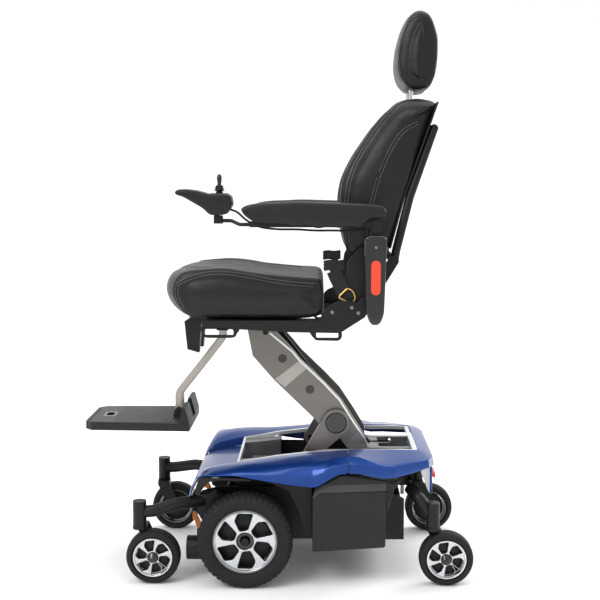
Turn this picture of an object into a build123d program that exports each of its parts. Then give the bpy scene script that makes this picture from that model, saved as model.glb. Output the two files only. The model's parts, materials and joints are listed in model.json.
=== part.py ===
from build123d import *
import os
from math import pi, radians, tan

# Power wheelchair with a six-wheel base, a scissor-like seat lift and a high-back seat.
# Millimetres.  +X is the rear, -Y the occupant's left, +Z up, the floor is Z = 0.

os.makedirs("parts", exist_ok=True)

SIDES = (("l", -1), ("r", 1))

# ---- rolling gear -------------------------------------------------------------
CASTER_R = 76.2  # six-inch casters
CASTER_W = 50.0
CASTER_RIM_R = 56.0
CASTER_Y = 246.0
CASTER_TRAIL = 38.0
FRONT_STEM_X = -380.0
REAR_STEM_X = 445.0
STEM_R = 8.0
STEM_TOP_Z = 226.0
HOUSING_R = 19.0
HOUSING_Z = (165.0, 235.0)
DRIVE_R = 133.35  # ten-and-a-half-inch drive wheels
DRIVE_W = 75.0
DRIVE_RIM_R = 91.0
DRIVE_X = -80.0
DRIVE_Y = 267.5
AXLE_R = 10.0
FIT = 0.05  # radial play of a shaft in its hole
GAP = 0.5  # play between faces that slide past each other
BEAM_PIVOT = (-190.0, 205.0)
BEAM_Y = (165.0, 200.0)
MOTOR_Y = 190.0
MOTOR_R = 34.0

# ---- seat lift: link O-M, arm A-M-B, carriage at B ----------------------------
LINK_O = (98.0, 338.0)
LINK_M = (174.33, 430.59)
ARM_B = (250.66, 338.0)
ARM_A = (-31.34, 695.0)
ROD_SHIFT = 30.7  # the levelling rod runs parallel to A-B, this far behind it
ARM_Y = (86.0, 100.0)
LINK_Y = (103.0, 115.0)
LIFT_PIN_R = 8.0
HUB_PIN_R = 14.0
ROD_PIN_R = 5.0
CARRIAGE_STROKE = 86.0

# ---- base ---------------------------------------------------------------------
CHASSIS_Y = (138.0, 148.0)
PAN_Z = (95.0, 101.0)
SHROUD_Y = 285.0
SHELL_T = 4.0
SPLIT_X = 208.0
COVER_Y = (272.0, 280.0)

# ---- seat ---------------------------------------------------------------------
SEAT_Y = (236.0, 244.0)
SEAT_PAN_Z = (738.0, 746.0)
SEAT_HALF = 250.0
BACK_HALF = 228.0
BACK_PIVOT = (250.0, 790.0)
POST_Y = 270.0
POST_X = (264.0, 290.0)
ARMREST_PIN = (287.0, 1012.0)
FOOT_PIN = (-295.0, 446.0)


def save(builder, name):
    """Label a finished sub-part and write it as its own STEP file."""
    builder.part.label = name
    export_step(builder.part, f"parts/{name}.step")


def side_plane(side, y):
    """XZ plane at distance y from the middle, on the left (-1) or right (+1) side."""
    return Plane.XZ.offset(-side * y)


def span(side, y_from, y_to):
    """Plane and extrusion amount that fill the space between two distances from the middle."""
    return side_plane(side, y_from), -side * (y_to - y_from)


def cross_axis(x, z):
    """Axis along Y through a point of the side view."""
    return Axis((x, 0, z), (0, 1, 0))


# ==== wheels ===================================================================
def caster_wheel(name, axle_x, side):
    """Solid tyre on a six-window hub, two solids that turn together."""
    with BuildPart() as wheel:
        with BuildSketch(Plane.YZ.offset(axle_x)):
            with Locations((side * CASTER_Y, CASTER_R + (CASTER_R + CASTER_RIM_R) / 2)):
                RectangleRounded(CASTER_W, CASTER_R - CASTER_RIM_R, 9)
        revolve(axis=cross_axis(axle_x, CASTER_R))
        with BuildSketch(Plane.YZ.offset(axle_x)):
            rim_top = CASTER_RIM_R - FIT
            with Locations((side * CASTER_Y, CASTER_R + rim_top - 4)):
                Rectangle(CASTER_W - 8, 8)
            with Locations((side * (CASTER_Y + 8), CASTER_R + rim_top / 2)):
                Rectangle(10, rim_top)
            with Locations((side * CASTER_Y, CASTER_R + 11)):
                Rectangle(CASTER_W - 4, 22)
            with Locations((side * CASTER_Y, CASTER_R)):
                Rectangle(CASTER_W, 2 * (6 + FIT), mode=Mode.SUBTRACT)
            with Locations((side * (CASTER_Y + 15), CASTER_R + 6)):
                Rectangle(20, 12)
        revolve(axis=cross_axis(axle_x, CASTER_R))
        hub_plane = Plane((axle_x, side * CASTER_Y, CASTER_R), x_dir=(1, 0, 0), z_dir=(0, -1, 0))
        with BuildSketch(hub_plane):
            with PolarLocations(35, 6):
                RectangleRounded(18, 19, 4)
        extrude(amount=CASTER_W, both=True, mode=Mode.SUBTRACT)
    save(wheel, name)


def caster_fork(name, stem_x, side):
    """One-sided fork: stem, crown over the tyre, leg on the inboard side, axle stub."""
    axle_x = stem_x + CASTER_TRAIL
    leg_in = CASTER_Y - CASTER_W / 2 - 16
    leg_out = CASTER_Y - CASTER_W / 2 - 4
    crown_z = (CASTER_R * 2 + 3, HOUSING_Z[0] - GAP)
    with BuildPart() as fork:
        plane, depth = span(side, leg_in, leg_out)
        with BuildSketch(plane):
            with Locations((axle_x, CASTER_R)):
                Circle(17)
            with Locations((stem_x + 2, crown_z[1] - 5)):
                Rectangle(36, 10)
            make_hull()
        extrude(amount=depth)
        with BuildSketch(Plane.XY.offset(crown_z[0])):
            with Locations((stem_x, side * CASTER_Y)):
                Circle(20)
            with Locations((stem_x + 2, side * (leg_in + 6))):
                Rectangle(36, 12)
            make_hull()
        extrude(amount=crown_z[1] - crown_z[0])
        with BuildSketch(Plane.XY.offset(crown_z[1])):
            with Locations((stem_x, side * CASTER_Y)):
                Circle(STEM_R)
        extrude(amount=STEM_TOP_Z - 1 - crown_z[1])
        plane, depth = span(side, leg_out, CASTER_Y + 4)
        with BuildSketch(plane):
            with Locations((axle_x, CASTER_R)):
                Circle(6)
        extrude(amount=depth)
    save(fork, name)


def drive_tyre(name, side):
    """Block-tread pneumatic tyre."""
    with BuildPart() as tyre:
        with BuildSketch(Plane.YZ.offset(DRIVE_X)):
            with Locations((side * DRIVE_Y, DRIVE_R + (DRIVE_R + DRIVE_RIM_R) / 2)):
                RectangleRounded(DRIVE_W, DRIVE_R - DRIVE_RIM_R, 14)
        revolve(axis=cross_axis(DRIVE_X, DRIVE_R))
    save(tyre, name)


def drive_rim(name, side):
    """Six-spoke alloy rim with a hub on the motor shaft."""
    rim_top = DRIVE_RIM_R - FIT
    with BuildPart() as rim:
        with BuildSketch(Plane.YZ.offset(DRIVE_X)):
            with Locations((side * DRIVE_Y, DRIVE_R + rim_top - 5)):
                Rectangle(DRIVE_W - 20, 10)
            with Locations((side * (DRIVE_Y + 16), DRIVE_R + (rim_top + AXLE_R) / 2)):
                Rectangle(12, rim_top - AXLE_R)
            with Locations((side * (DRIVE_Y + 2), DRIVE_R + AXLE_R + FIT + 13)):
                Rectangle(DRIVE_W - 16, 26)
        revolve(axis=cross_axis(DRIVE_X, DRIVE_R))
        hub_plane = Plane((DRIVE_X, side * DRIVE_Y, DRIVE_R), x_dir=(1, 0, 0), z_dir=(0, -1, 0))
        with BuildSketch(hub_plane):
            Circle(AXLE_R + FIT)
            with PolarLocations(60, 6):
                RectangleRounded(34, 34, 8)
        extrude(amount=DRIVE_W, both=True, mode=Mode.SUBTRACT)
    save(rim, name)


# ==== suspension beams, motors =================================================
def drive_beam(name, side):
    """Walking beam: pivots on the chassis, carries the motor and the front caster."""
    with BuildPart() as beam:
        plane, depth = span(side, *BEAM_Y)
        with BuildSketch(plane):
            with BuildLine():
                Polyline((-222, 186), (-222, 238), (-170, 245), (-60, 208), (-46, 182),
                         (-128, 182), (-150, 150), (-200, 150), close=True)
            make_face()
            with Locations(BEAM_PIVOT):
                Circle(AXLE_R + FIT, mode=Mode.SUBTRACT)
        extrude(amount=depth)
        with BuildLine():
            FilletPolyline((FRONT_STEM_X + 8, side * (CASTER_Y - 4), 202),
                           (-340, side * 240, 204),
                           (-277, side * 218, 218),
                           (-205, side * 187, 220), radius=60)
        with BuildSketch(Plane((FRONT_STEM_X + 8, side * (CASTER_Y - 4), 202), z_dir=(32, -side * 2, 2))):
            Circle(17)
        sweep()
        with BuildSketch(Plane.XY.offset(HOUSING_Z[0])):
            with Locations((FRONT_STEM_X, side * CASTER_Y)):
                Circle(HOUSING_R)
        extrude(amount=HOUSING_Z[1] - HOUSING_Z[0])
        with BuildSketch(Plane.XY.offset(HOUSING_Z[0])):
            with Locations((FRONT_STEM_X, side * CASTER_Y)):
                Circle(STEM_R + FIT)
        extrude(amount=STEM_TOP_Z - HOUSING_Z[0], mode=Mode.SUBTRACT)
    save(beam, name)


def drive_motor(name, side):
    """Gearbox at the drive axle with the motor can lying forward of it."""
    with BuildPart() as motor:
        plane, depth = span(side, 156, 222)
        with BuildSketch(plane):
            with Locations((DRIVE_X, DRIVE_R)):
                RectangleRounded(92, 94, 14)
        extrude(amount=depth)
        with BuildSketch(Plane((-253, side * MOTOR_Y, 82), x_dir=(0, 1, 0), z_dir=(1, 0, 0))):
            Circle(MOTOR_R)
        extrude(amount=140)
        plane, depth = span(side, 222, 296)
        with BuildSketch(plane):
            with Locations((DRIVE_X, DRIVE_R)):
                Circle(AXLE_R)
        extrude(amount=depth)
        with BuildSketch(Plane.XY.offset(114)):
            with Locations((-215, side * 176)):
                Rectangle(22, 10)
        extrude(amount=18)
        with BuildSketch(side_plane(side, 181)):
            with Locations((-215, 126)):
                Circle(4)
        extrude(amount=side * 16)
    save(motor, name)


def freewheel_lever(name, side):
    """Brake-release lever with a flattened grip."""
    with BuildPart() as lever:
        plane, depth = span(side, 166, 170.5)
        with BuildSketch(plane):
            with Locations((-215, 126)):
                Circle(9)
            with Locations((-233, 172)):
                Circle(6)
            make_hull()
            with Locations((-215, 126)):
                Circle(4 + FIT, mode=Mode.SUBTRACT)
        extrude(amount=depth)
        plane, depth = span(side, 158, 172)
        with BuildSketch(plane):
            with Locations((-233, 168)):
                RectangleRounded(14, 22, 5)
        extrude(amount=depth)
    save(lever, name)


for tag, side in SIDES:
    caster_wheel(f"caster_wheel_f{tag}", FRONT_STEM_X + CASTER_TRAIL, side)
    caster_wheel(f"caster_wheel_r{tag}", REAR_STEM_X + CASTER_TRAIL, side)
    caster_fork(f"caster_fork_f{tag}", FRONT_STEM_X, side)
    caster_fork(f"caster_fork_r{tag}", REAR_STEM_X, side)
    drive_tyre(f"drive_tyre_{tag}", side)
    drive_rim(f"drive_rim_{tag}", side)
    drive_beam(f"drive_beam_{tag}", side)
    drive_motor(f"drive_motor_{tag}", side)
    freewheel_lever(f"freewheel_lever_{tag}", side)

# ==== base =====================================================================
with BuildPart() as chassis_frame:
    for side in (-1, 1):
        plane, depth = span(side, *CHASSIS_Y)
        with BuildSketch(plane):
            with BuildLine():
                Polyline((-215, 175), (-215, 235), (-160, 250), (60, 250), (345, 230),
                         (372, 215), (372, 95), (-100, 95), close=True)
            make_face()
        extrude(amount=depth)
        plane, depth = span(side, 148, 160)
        with BuildSketch(plane):
            with Locations(BEAM_PIVOT):
                Circle(16)
        extrude(amount=depth)
        plane, depth = span(side, 148, 199)
        with BuildSketch(plane):
            with Locations(BEAM_PIVOT):
                Circle(AXLE_R)
        extrude(amount=depth)
        plane, depth = span(side, 118, 138)
        with BuildSketch(plane):
            with BuildLine():
                Polyline((60, 240), (82, 352), (114, 352), (104, 240), close=True)
            make_face()
        extrude(amount=depth)
        plane, depth = span(side, 101.5, 118)
        with BuildSketch(plane):
            with Locations(LINK_O):
                Circle(LIFT_PIN_R)
        extrude(amount=depth)
    with BuildSketch(Plane.XY.offset(PAN_Z[0])):
        with Locations((136, 0)):
            Rectangle(472, 2 * CHASSIS_Y[1])
    extrude(amount=PAN_Z[1] - PAN_Z[0])
    with BuildSketch(Plane.YZ.offset(-150)):
        with Locations((0, 200)):
            Rectangle(2 * CHASSIS_Y[1], 60)
    extrude(amount=8)
    with BuildSketch(Plane.YZ.offset(352)):
        with Locations((0, 165)):
            Rectangle(2 * CHASSIS_Y[1], 130)
    extrude(amount=8)
    with BuildSketch(Plane.XY.offset(268)):
        with Locations((293, 0), (222, 0)):
            Rectangle(12, 2 * CHASSIS_Y[0])
    extrude(amount=6)
    for side in (-1, 1):
        with BuildSketch(Plane.XY.offset(236)):
            with Locations((222, side * 133), (293, side * 133)):
                Rectangle(12, 12)
        extrude(amount=34)
save(chassis_frame, "chassis_frame")

with BuildPart() as battery_pack:
    with BuildSketch(Plane.XY.offset(PAN_Z[1])):
        with Locations((225, -64), (225, 64)):
            RectangleRounded(236, 124, 6)
    extrude(amount=160)
    fillet(battery_pack.edges().filter_by(Axis.X), 3)
    with BuildSketch(Plane.XY.offset(PAN_Z[1] + 160)):
        with GridLocations(190, 128, 2, 2):
            with Locations((225, 0)):
                Circle(6)
    extrude(amount=4)
save(battery_pack, "battery_pack")

with BuildPart() as control_module:
    with BuildSketch(Plane.XY.offset(PAN_Z[1])):
        with Locations((10, 0)):
            RectangleRounded(150, 190, 10)
    extrude(amount=70)
    with BuildSketch(Plane.XY.offset(PAN_Z[1] + 70)):
        with Locations([(10, 14 * i) for i in range(-5, 6)]):
            Rectangle(120, 4)
    extrude(amount=10)
save(control_module, "control_module")

with BuildPart() as lift_motor:
    with BuildSketch(Plane((10, 0, 288), x_dir=(0, 1, 0), z_dir=(1, 0, 0))):
        Circle(13)
        Circle(7 + FIT, mode=Mode.SUBTRACT)
    extrude(amount=180)
    with BuildSketch(Plane((-30, 0, 288), x_dir=(0, 1, 0), z_dir=(1, 0, 0))):
        Circle(13)
    extrude(amount=40)
    with BuildSketch(Plane((-75, 0, 262), x_dir=(0, 1, 0), z_dir=(1, 0, 0))):
        RectangleRounded(52, 76, 10)
    extrude(amount=45)
    with BuildSketch(Plane((-142, 0, 245), x_dir=(0, 1, 0), z_dir=(1, 0, 0))):
        Circle(24)
    extrude(amount=70)
save(lift_motor, "lift_motor")

with BuildPart() as slide_rails:
    for side in (-1, 1):
        plane, depth = span(side, 62, 80)
        with BuildSketch(plane):
            with Locations((313.5, 335)):
                Rectangle(177, 30)
            with Locations(((ARM_B[0] + ARM_B[0] + CARRIAGE_STROKE) / 2, ARM_B[1])):
                SlotOverall(CARRIAGE_STROKE + 2 * LIFT_PIN_R + 3, 2 * LIFT_PIN_R + 1, mode=Mode.SUBTRACT)
        extrude(amount=depth)
        with BuildSketch(Plane.XY.offset(274)):
            with Locations((293, side * 71), (228, side * 71), (372, side * 71)):
                Rectangle(10, 14)
        extrude(amount=46)
    with BuildSketch(Plane.XY.offset(330)):
        with Locations((396.5, 0)):
            Rectangle(11, 130)
    extrude(amount=13)
    with BuildSketch(Plane.XY.offset(210)):
        with Locations((372, -71), (372, 71)):
            Rectangle(10, 14)
    extrude(amount=64)
save(slide_rails, "slide_rails")

with BuildPart() as rear_caster_arms:
    for side in (-1, 1):
        start = (384, side * 190, 262)
        with BuildLine() as arm_path:
            FilletPolyline(start, (408, side * 222, 240), (REAR_STEM_X - 6, side * (CASTER_Y - 4), 202), radius=30)
        with BuildSketch(Plane(start, z_dir=(24, side * 32, -22))):
            Circle(18)
        sweep(path=arm_path.line)
        with BuildSketch(Plane.XY.offset(HOUSING_Z[0])):
            with Locations((REAR_STEM_X, side * CASTER_Y)):
                Circle(HOUSING_R)
        extrude(amount=HOUSING_Z[1] - HOUSING_Z[0])
        with BuildSketch(Plane.XY.offset(HOUSING_Z[0])):
            with Locations((REAR_STEM_X, side * CASTER_Y)):
                Circle(STEM_R + FIT)
        extrude(amount=STEM_TOP_Z - HOUSING_Z[0], mode=Mode.SUBTRACT)
    with BuildSketch(Plane.XY.offset(242)):
        with Locations((386, 0)):
            Rectangle(8, 2 * 196)
    extrude(amount=42)
save(rear_caster_arms, "rear_caster_arms")

with BuildPart() as front_shroud:
    with BuildSketch(Plane.XZ) as wing_line:
        with BuildLine():
            Polyline((-251, 212), (-229, 275), (-150, 328), (-40, 346), (90, 356), (SPLIT_X, 366),
                     (SPLIT_X, 362), (90, 352), (-40, 342), (-148, 324), (-225, 272), (-247, 212), close=True)
        make_face()
    extrude(amount=SHROUD_Y, both=True)
    with BuildSketch(Plane.XY.offset(200)):
        with Locations((18, 0)):
            Rectangle(SPLIT_X + 172, 2 * 163)
    extrude(amount=200, mode=Mode.SUBTRACT)
    for side in (-1, 1):
        plane, depth = span(side, SHROUD_Y - SHELL_T, SHROUD_Y)
        with BuildSketch(plane):
            with BuildLine():
                Polyline((-150, 326), (-40, 344), (90, 354), (SPLIT_X, 364), (SPLIT_X, 331), (183, 329),
                         (112, 285), (16, 299), (-76, 311), (-160, 316), close=True)
            make_face()
        extrude(amount=depth)
    with BuildSketch(Plane.XZ):
        with BuildLine():
            Polyline((-250, 210), (-240, 262), (-172, 292), (-113, 298), (-113, 294), (-170, 288),
                     (-236, 258), (-246, 210), close=True)
        make_face()
    extrude(amount=162, both=True)
    for side in (-1, 1):
        with BuildSketch(Plane.XY.offset(200)):
            with Locations((-244, side * 228)):
                Rectangle(32, 122)
        extrude(amount=50, mode=Mode.SUBTRACT)
        with BuildSketch(Plane.XY.offset(200)):
            with Locations((-205, side * 257)):
                Rectangle(110, 66)
        extrude(amount=140, mode=Mode.SUBTRACT)
save(front_shroud, "front_shroud")

with BuildPart() as rear_shroud:
    with BuildSketch(Plane.XY.offset(318)) as rear_plan:
        with BuildLine():
            Polyline((SPLIT_X + GAP, -SHROUD_Y), (330, -SHROUD_Y), (452, -200), (452, 200),
                     (330, SHROUD_Y), (SPLIT_X + GAP, SHROUD_Y), close=True)
        make_face()
    extrude(amount=42)
    with BuildSketch(Plane.XY.offset(310)):
        with BuildLine():
            Polyline((SPLIT_X - 1, -SHROUD_Y + SHELL_T), (328, -SHROUD_Y + SHELL_T), (448, -198),
                     (448, 198), (328, SHROUD_Y - SHELL_T), (SPLIT_X - 1, SHROUD_Y - SHELL_T), close=True)
        make_face()
    extrude(amount=46, mode=Mode.SUBTRACT)
    with BuildSketch(Plane.XY.offset(300)):
        with Locations((307, 0)):
            Rectangle(200, 2 * 163)
    extrude(amount=100, mode=Mode.SUBTRACT)
    with BuildSketch(Plane.YZ.offset(440)):
        with Locations((0, 289)):
            Rectangle(2 * 198, 100)
        with Locations((0, 300)):
            Rectangle(60, 40, mode=Mode.SUBTRACT)
    extrude(amount=8)
save(rear_shroud, "rear_shroud")

with BuildPart() as shroud_rim:
    for side in (-1, 1):
        plane, depth = span(side, 150, 162.5)
        with BuildSketch(plane):
            with BuildLine():
                Polyline((-112, 324), (0, 344), (149, 362), (361, 364), (406, 362),
                         (406, 352), (361, 354), (149, 352), (0, 334), (-112, 300), close=True)
            make_face()
        extrude(amount=depth)
    with BuildSketch(Plane.XZ):
        with Locations((400, 357)):
            Rectangle(12, 10)
        with Locations((-108.5, 312)):
            Rectangle(7, 24)
    extrude(amount=152, both=True)
save(shroud_rim, "shroud_rim")

with BuildPart() as side_covers:
    for side in (-1, 1):
        plane, depth = span(side, 150, COVER_Y[1])
        with BuildSketch(plane) as cover_profile:
            with BuildLine():
                Polyline((105, 98), (313, 113), (313, 279), (352, 300), (189, 320), (105, 268), close=True)
            make_face()
        extrude(amount=depth)
        plane, depth = span(side, 149, COVER_Y[1] - 3)
        with BuildSketch(plane):
            with BuildLine():
                Polyline((108, 101), (310, 116), (310, 280), (341, 298), (189, 316.5), (108, 266), close=True)
            make_face()
        extrude(amount=depth, mode=Mode.SUBTRACT)
    chamfer(side_covers.edges().filter_by(Axis.X, 30).group_by(Axis.Z)[-1], 1)
save(side_covers, "side_covers")

with BuildPart() as front_fenders:
    for side in (-1, 1):
        plane, depth = span(side, 226, 280)
        with BuildSketch(plane):
            with BuildLine():
                Polyline((-205, 313), (-80, 310), (-60, 306), (-60, 300), (-196, 304), (-234, 254),
                         (-240, 258), close=True)
            make_face()
        extrude(amount=depth)
save(front_fenders, "front_fenders")

with BuildPart() as tail_lights:
    with BuildSketch(Plane.YZ.offset(452)):
        with Locations((-150, 296), (150, 296)):
            SlotOverall(70, 16)
    extrude(amount=5)
    with BuildSketch(Plane.YZ.offset(448)):
        with Locations((-150, 296), (150, 296)):
            SlotOverall(66, 12)
    extrude(amount=4)
save(tail_lights, "tail_lights")

# ==== seat lift ================================================================
with BuildPart() as lift_link:
    for side in (-1, 1):
        plane, depth = span(side, *LINK_Y)
        with BuildSketch(plane):
            with Locations(LINK_M):
                Circle(40)
            with Locations(LINK_O):
                Circle(20)
            make_hull()
            with Locations(LINK_M):
                Circle(HUB_PIN_R + FIT, mode=Mode.SUBTRACT)
            with Locations(LINK_O):
                Circle(LIFT_PIN_R + FIT, mode=Mode.SUBTRACT)
        extrude(amount=depth)
save(lift_link, "lift_link")

with BuildPart() as lift_arm:
    for side in (-1, 1):
        plane, depth = span(side, *ARM_Y)
        with BuildSketch(plane):
            with BuildLine():
                Polyline((-83, 700), (-69, 626), (-7, 555), (60, 490), (116, 436), (134, 412),
                         (176, 396), (226, 330), (240, 322), (262, 322), (270, 336), (262, 384),
                         (233, 432), (188, 500), (144, 546), (71, 616), (43, 650), (2, 694),
                         (-6, 712), (-40, 722), (-76, 716), close=True)
            make_face()
            with Locations(ARM_B):
                Circle(LIFT_PIN_R + FIT, mode=Mode.SUBTRACT)
            with Locations(ARM_A):
                Circle(LIFT_PIN_R + FIT, mode=Mode.SUBTRACT)
        extrude(amount=depth)
        plane, depth = span(side, ARM_Y[1], LINK_Y[1])
        with BuildSketch(plane):
            with Locations(LINK_M):
                Circle(HUB_PIN_R)
        extrude(amount=depth)
    with BuildSketch(Plane.XZ):
        with BuildLine():
            Polyline((-69, 626), (-7, 555), (60, 490), (116, 436), (124, 443), (67, 498), (1, 562),
                     (-60, 632), close=True)
        make_face()
    extrude(amount=ARM_Y[0] + 1, both=True)
save(lift_arm, "lift_arm")

with BuildPart() as arm_caps:
    for side in (-1, 1):
        plane, depth = span(side, LINK_Y[1], LINK_Y[1] + 4)
        with BuildSketch(plane):
            with Locations(LINK_M):
                Circle(26)
        extrude(amount=depth)
        plane, depth = span(side, ARM_Y[1], ARM_Y[1] + 1.5)
        with BuildSketch(plane):
            with Locations((18, 618), (98, 527)):
                Circle(12.5)
        extrude(amount=depth)
save(arm_caps, "arm_caps")

ROD_B = (ARM_B[0] + ROD_SHIFT, ARM_B[1])
ROD_A = (ARM_A[0] + ROD_SHIFT, ARM_A[1])
with BuildPart() as slide_carriage:
    with BuildSketch(Plane.XZ):
        with BuildLine():
            Polyline((228, 320), (302, 320), (302, 350), (228, 350), close=True)
        make_face()
    extrude(amount=60, both=True)
    with BuildSketch(Plane.XZ):
        with Locations((265, 341)):
            Rectangle(90, 34)
    extrude(amount=12, both=True, mode=Mode.SUBTRACT)
    with BuildSketch(Plane.XZ):
        with Locations(ROD_B):
            Circle(ROD_PIN_R)
    extrude(amount=13, both=True)
    for side in (-1, 1):
        plane, depth = span(side, 58, 101)
        with BuildSketch(plane):
            with Locations(ARM_B):
                Circle(LIFT_PIN_R)
        extrude(amount=depth)
    with BuildSketch(Plane.XZ):
        with Locations((236, 299)):
            Rectangle(12, 44)
    extrude(amount=14, both=True)
    with BuildSketch(Plane((30, 0, 288), x_dir=(0, 1, 0), z_dir=(1, 0, 0))):
        Circle(7)
    extrude(amount=201)
save(slide_carriage, "slide_carriage")

with BuildPart() as leveling_rod:
    with BuildSketch(Plane.XZ):
        with BuildLine():
            Line(ROD_B, ROD_A)
        trace(line_width=13)
        with Locations(ROD_B, ROD_A):
            Circle(11)
        with Locations(ROD_B):
            Circle(ROD_PIN_R + FIT, mode=Mode.SUBTRACT)
        with Locations(ROD_A):
            Circle(ROD_PIN_R + 1, mode=Mode.SUBTRACT)
    extrude(amount=6, both=True)
save(leveling_rod, "leveling_rod")

# ==== seat =====================================================================
with BuildPart() as seat_frame:
    for side in (-1, 1):
        plane, depth = span(side, *SEAT_Y)
        with BuildSketch(plane):
            with BuildLine():
                Polyline((-200, 727), (43, 714), (182, 712), (250, 756), (270, 790), (262, 812),
                         (238, 812), (222, 786), (170, 747), (-200, 745), close=True)
            make_face()
        extrude(amount=depth)
        plane, depth = span(side, 221, SEAT_Y[0])
        with BuildSketch(plane):
            with Locations(BACK_PIVOT):
                Circle(LIFT_PIN_R)
        extrude(amount=depth)
        plane, depth = span(side, 60, 82)
        with BuildSketch(plane):
            with BuildLine():
                Polyline((-75, 740), (-46, 682), (-16, 682), (12, 740), close=True)
            make_face()
        extrude(amount=depth)
        plane, depth = span(side, 82, 101)
        with BuildSketch(plane):
            with Locations(ARM_A):
                Circle(LIFT_PIN_R)
        extrude(amount=depth)
        plane, depth = span(side, 7, 14)
        with BuildSketch(plane):
            with BuildLine():
                Polyline((-30, 740), (-12, 684), (11, 684), (30, 740), close=True)
            make_face()
        extrude(amount=depth)
        plane, depth = span(side, 40, 75)
        with BuildSketch(plane):
            with BuildLine():
                Polyline((-270, 722), (-262, 640), (-228, 630), (-221, 715), (-180, 725), (-180, 740),
                         (-240, 740), close=True)
            make_face()
        extrude(amount=depth)
        for loop in (((-198, 730), (-198, 702), (-108, 702), (-108, 724)),
                     ((112, 715), (112, 695), (181, 695), (181, 714))):
            corners = [(x, side * 240, z) for x, z in loop]
            with BuildLine() as loop_line:
                FilletPolyline(*corners, radius=8)
            with BuildSketch(Plane(corners[0], z_dir=(0, 0, -1))):
                Circle(4)
            sweep(path=loop_line.line)
    with BuildSketch(Plane.XZ):
        with Locations(ROD_A):
            Circle(ROD_PIN_R)
    extrude(amount=8, both=True)
    with BuildSketch(Plane.XY.offset(SEAT_PAN_Z[0])):
        with Locations((0, 0)):
            Rectangle(380, 2 * SEAT_Y[0])
        with Locations((120, -110), (120, 110)):
            RectangleRounded(120, 150, 12, mode=Mode.SUBTRACT)
    extrude(amount=SEAT_PAN_Z[1] - SEAT_PAN_Z[0])
    with BuildSketch(Plane.XY.offset(690)):
        with Locations((-163, 0)):
            Rectangle(34, 60)
    extrude(amount=50)
save(seat_frame, "seat_frame")

with BuildPart() as seat_cushion:
    with BuildSketch(Plane.XZ):
        with BuildLine():
            Polyline((-329, 822), (-305, 868), (-231, 890), (131, 865), (132, 760), (100, 748),
                     (-238, 748), (-300, 775), close=True)
        make_face()
    extrude(amount=SEAT_HALF, both=True)
save(seat_cushion, "seat_cushion")

with BuildPart() as footrest_bar:
    bar_top = (-163, 0, 690)
    with BuildLine() as bar_line:
        FilletPolyline(bar_top, (-163, 0, 668), (-219, 0, 596), (-295, 0, 500), (-295, 0, 459), radius=28)
    with BuildSketch(Plane(bar_top, x_dir=(0, 1, 0), z_dir=bar_line.line % 0)):
        RectangleRounded(46, 22, 4)
    sweep(path=bar_line.line)
    with BuildSketch(Plane.XZ):
        with Locations((-295, 446)):
            Circle(13)
        with Locations((-295, 460)):
            Rectangle(22, 8)
        make_hull()
        with Locations((-295, 446)):
            Circle(6 + FIT, mode=Mode.SUBTRACT)
    extrude(amount=23, both=True)
save(footrest_bar, "footrest_bar")

with BuildPart() as footplate:
    with BuildSketch(Plane.XY.offset(407)):
        with BuildLine():
            Polyline((-540, -118), (-252, -130), (-252, 130), (-540, 118), (-560, 96), (-560, -96), close=True)
        make_face()
    extrude(amount=23)
    with BuildSketch(Plane.XY.offset(400)):
        with Locations((-505, 0)):
            SlotOverall(110, 26, rotation=90)
        with Locations((-295, 0)):
            Rectangle(40, 52)
    extrude(amount=40, mode=Mode.SUBTRACT)
    with BuildSketch(Plane.XZ):
        with BuildLine():
            Polyline((-282, 430), (-274, 474), (-264, 474), (-252, 430), close=True)
        make_face()
    extrude(amount=128, both=True)
    with BuildSketch(Plane.XY.offset(428)):
        with Locations((-272, 0)):
            Rectangle(48, 52)
    extrude(amount=60, mode=Mode.SUBTRACT)
    for side in (-1, 1):
        plane, depth = span(side, 26, 34)
        with BuildSketch(plane):
            with Locations(FOOT_PIN):
                Circle(12)
            with Locations((-295, 428)):
                Rectangle(34, 4)
            make_hull()
        extrude(amount=depth)
    with BuildSketch(Plane.XZ):
        with Locations(FOOT_PIN):
            Circle(6)
    extrude(amount=34, both=True)
save(footplate, "footplate")

with BuildPart() as armrest_sockets:
    for side in (-1, 1):
        plane, depth = span(side, 250, 284)
        with BuildSketch(plane):
            with Locations((277, 868)):
                RectangleRounded(44, 224, 5)
        extrude(amount=depth)
        with BuildSketch(Plane.XY.offset(790)):
            with Locations(((POST_X[0] + POST_X[1]) / 2, side * POST_Y)):
                Rectangle(26, 25)
        extrude(amount=200, mode=Mode.SUBTRACT)
        plane, depth = span(side, 284, 300)
        with BuildSketch(plane):
            with BuildLine():
                Polyline((244, 985), (307, 985), (301, 765), (290, 742), (262, 742), (251, 765), close=True)
            make_face()
        extrude(amount=depth)
        plane, depth = span(side, SEAT_Y[1], 250)
        with BuildSketch(plane):
            with Locations((266, 786)):
                Rectangle(46, 40)
        extrude(amount=depth)
save(armrest_sockets, "armrest_sockets")

with BuildPart() as side_reflectors:
    for side in (-1, 1):
        plane, depth = span(side, 300, 302)
        with BuildSketch(plane):
            with Locations((276.5, 870)):
                SlotOverall(93, 25, rotation=90)
        extrude(amount=depth)
save(side_reflectors, "side_reflectors")

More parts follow.
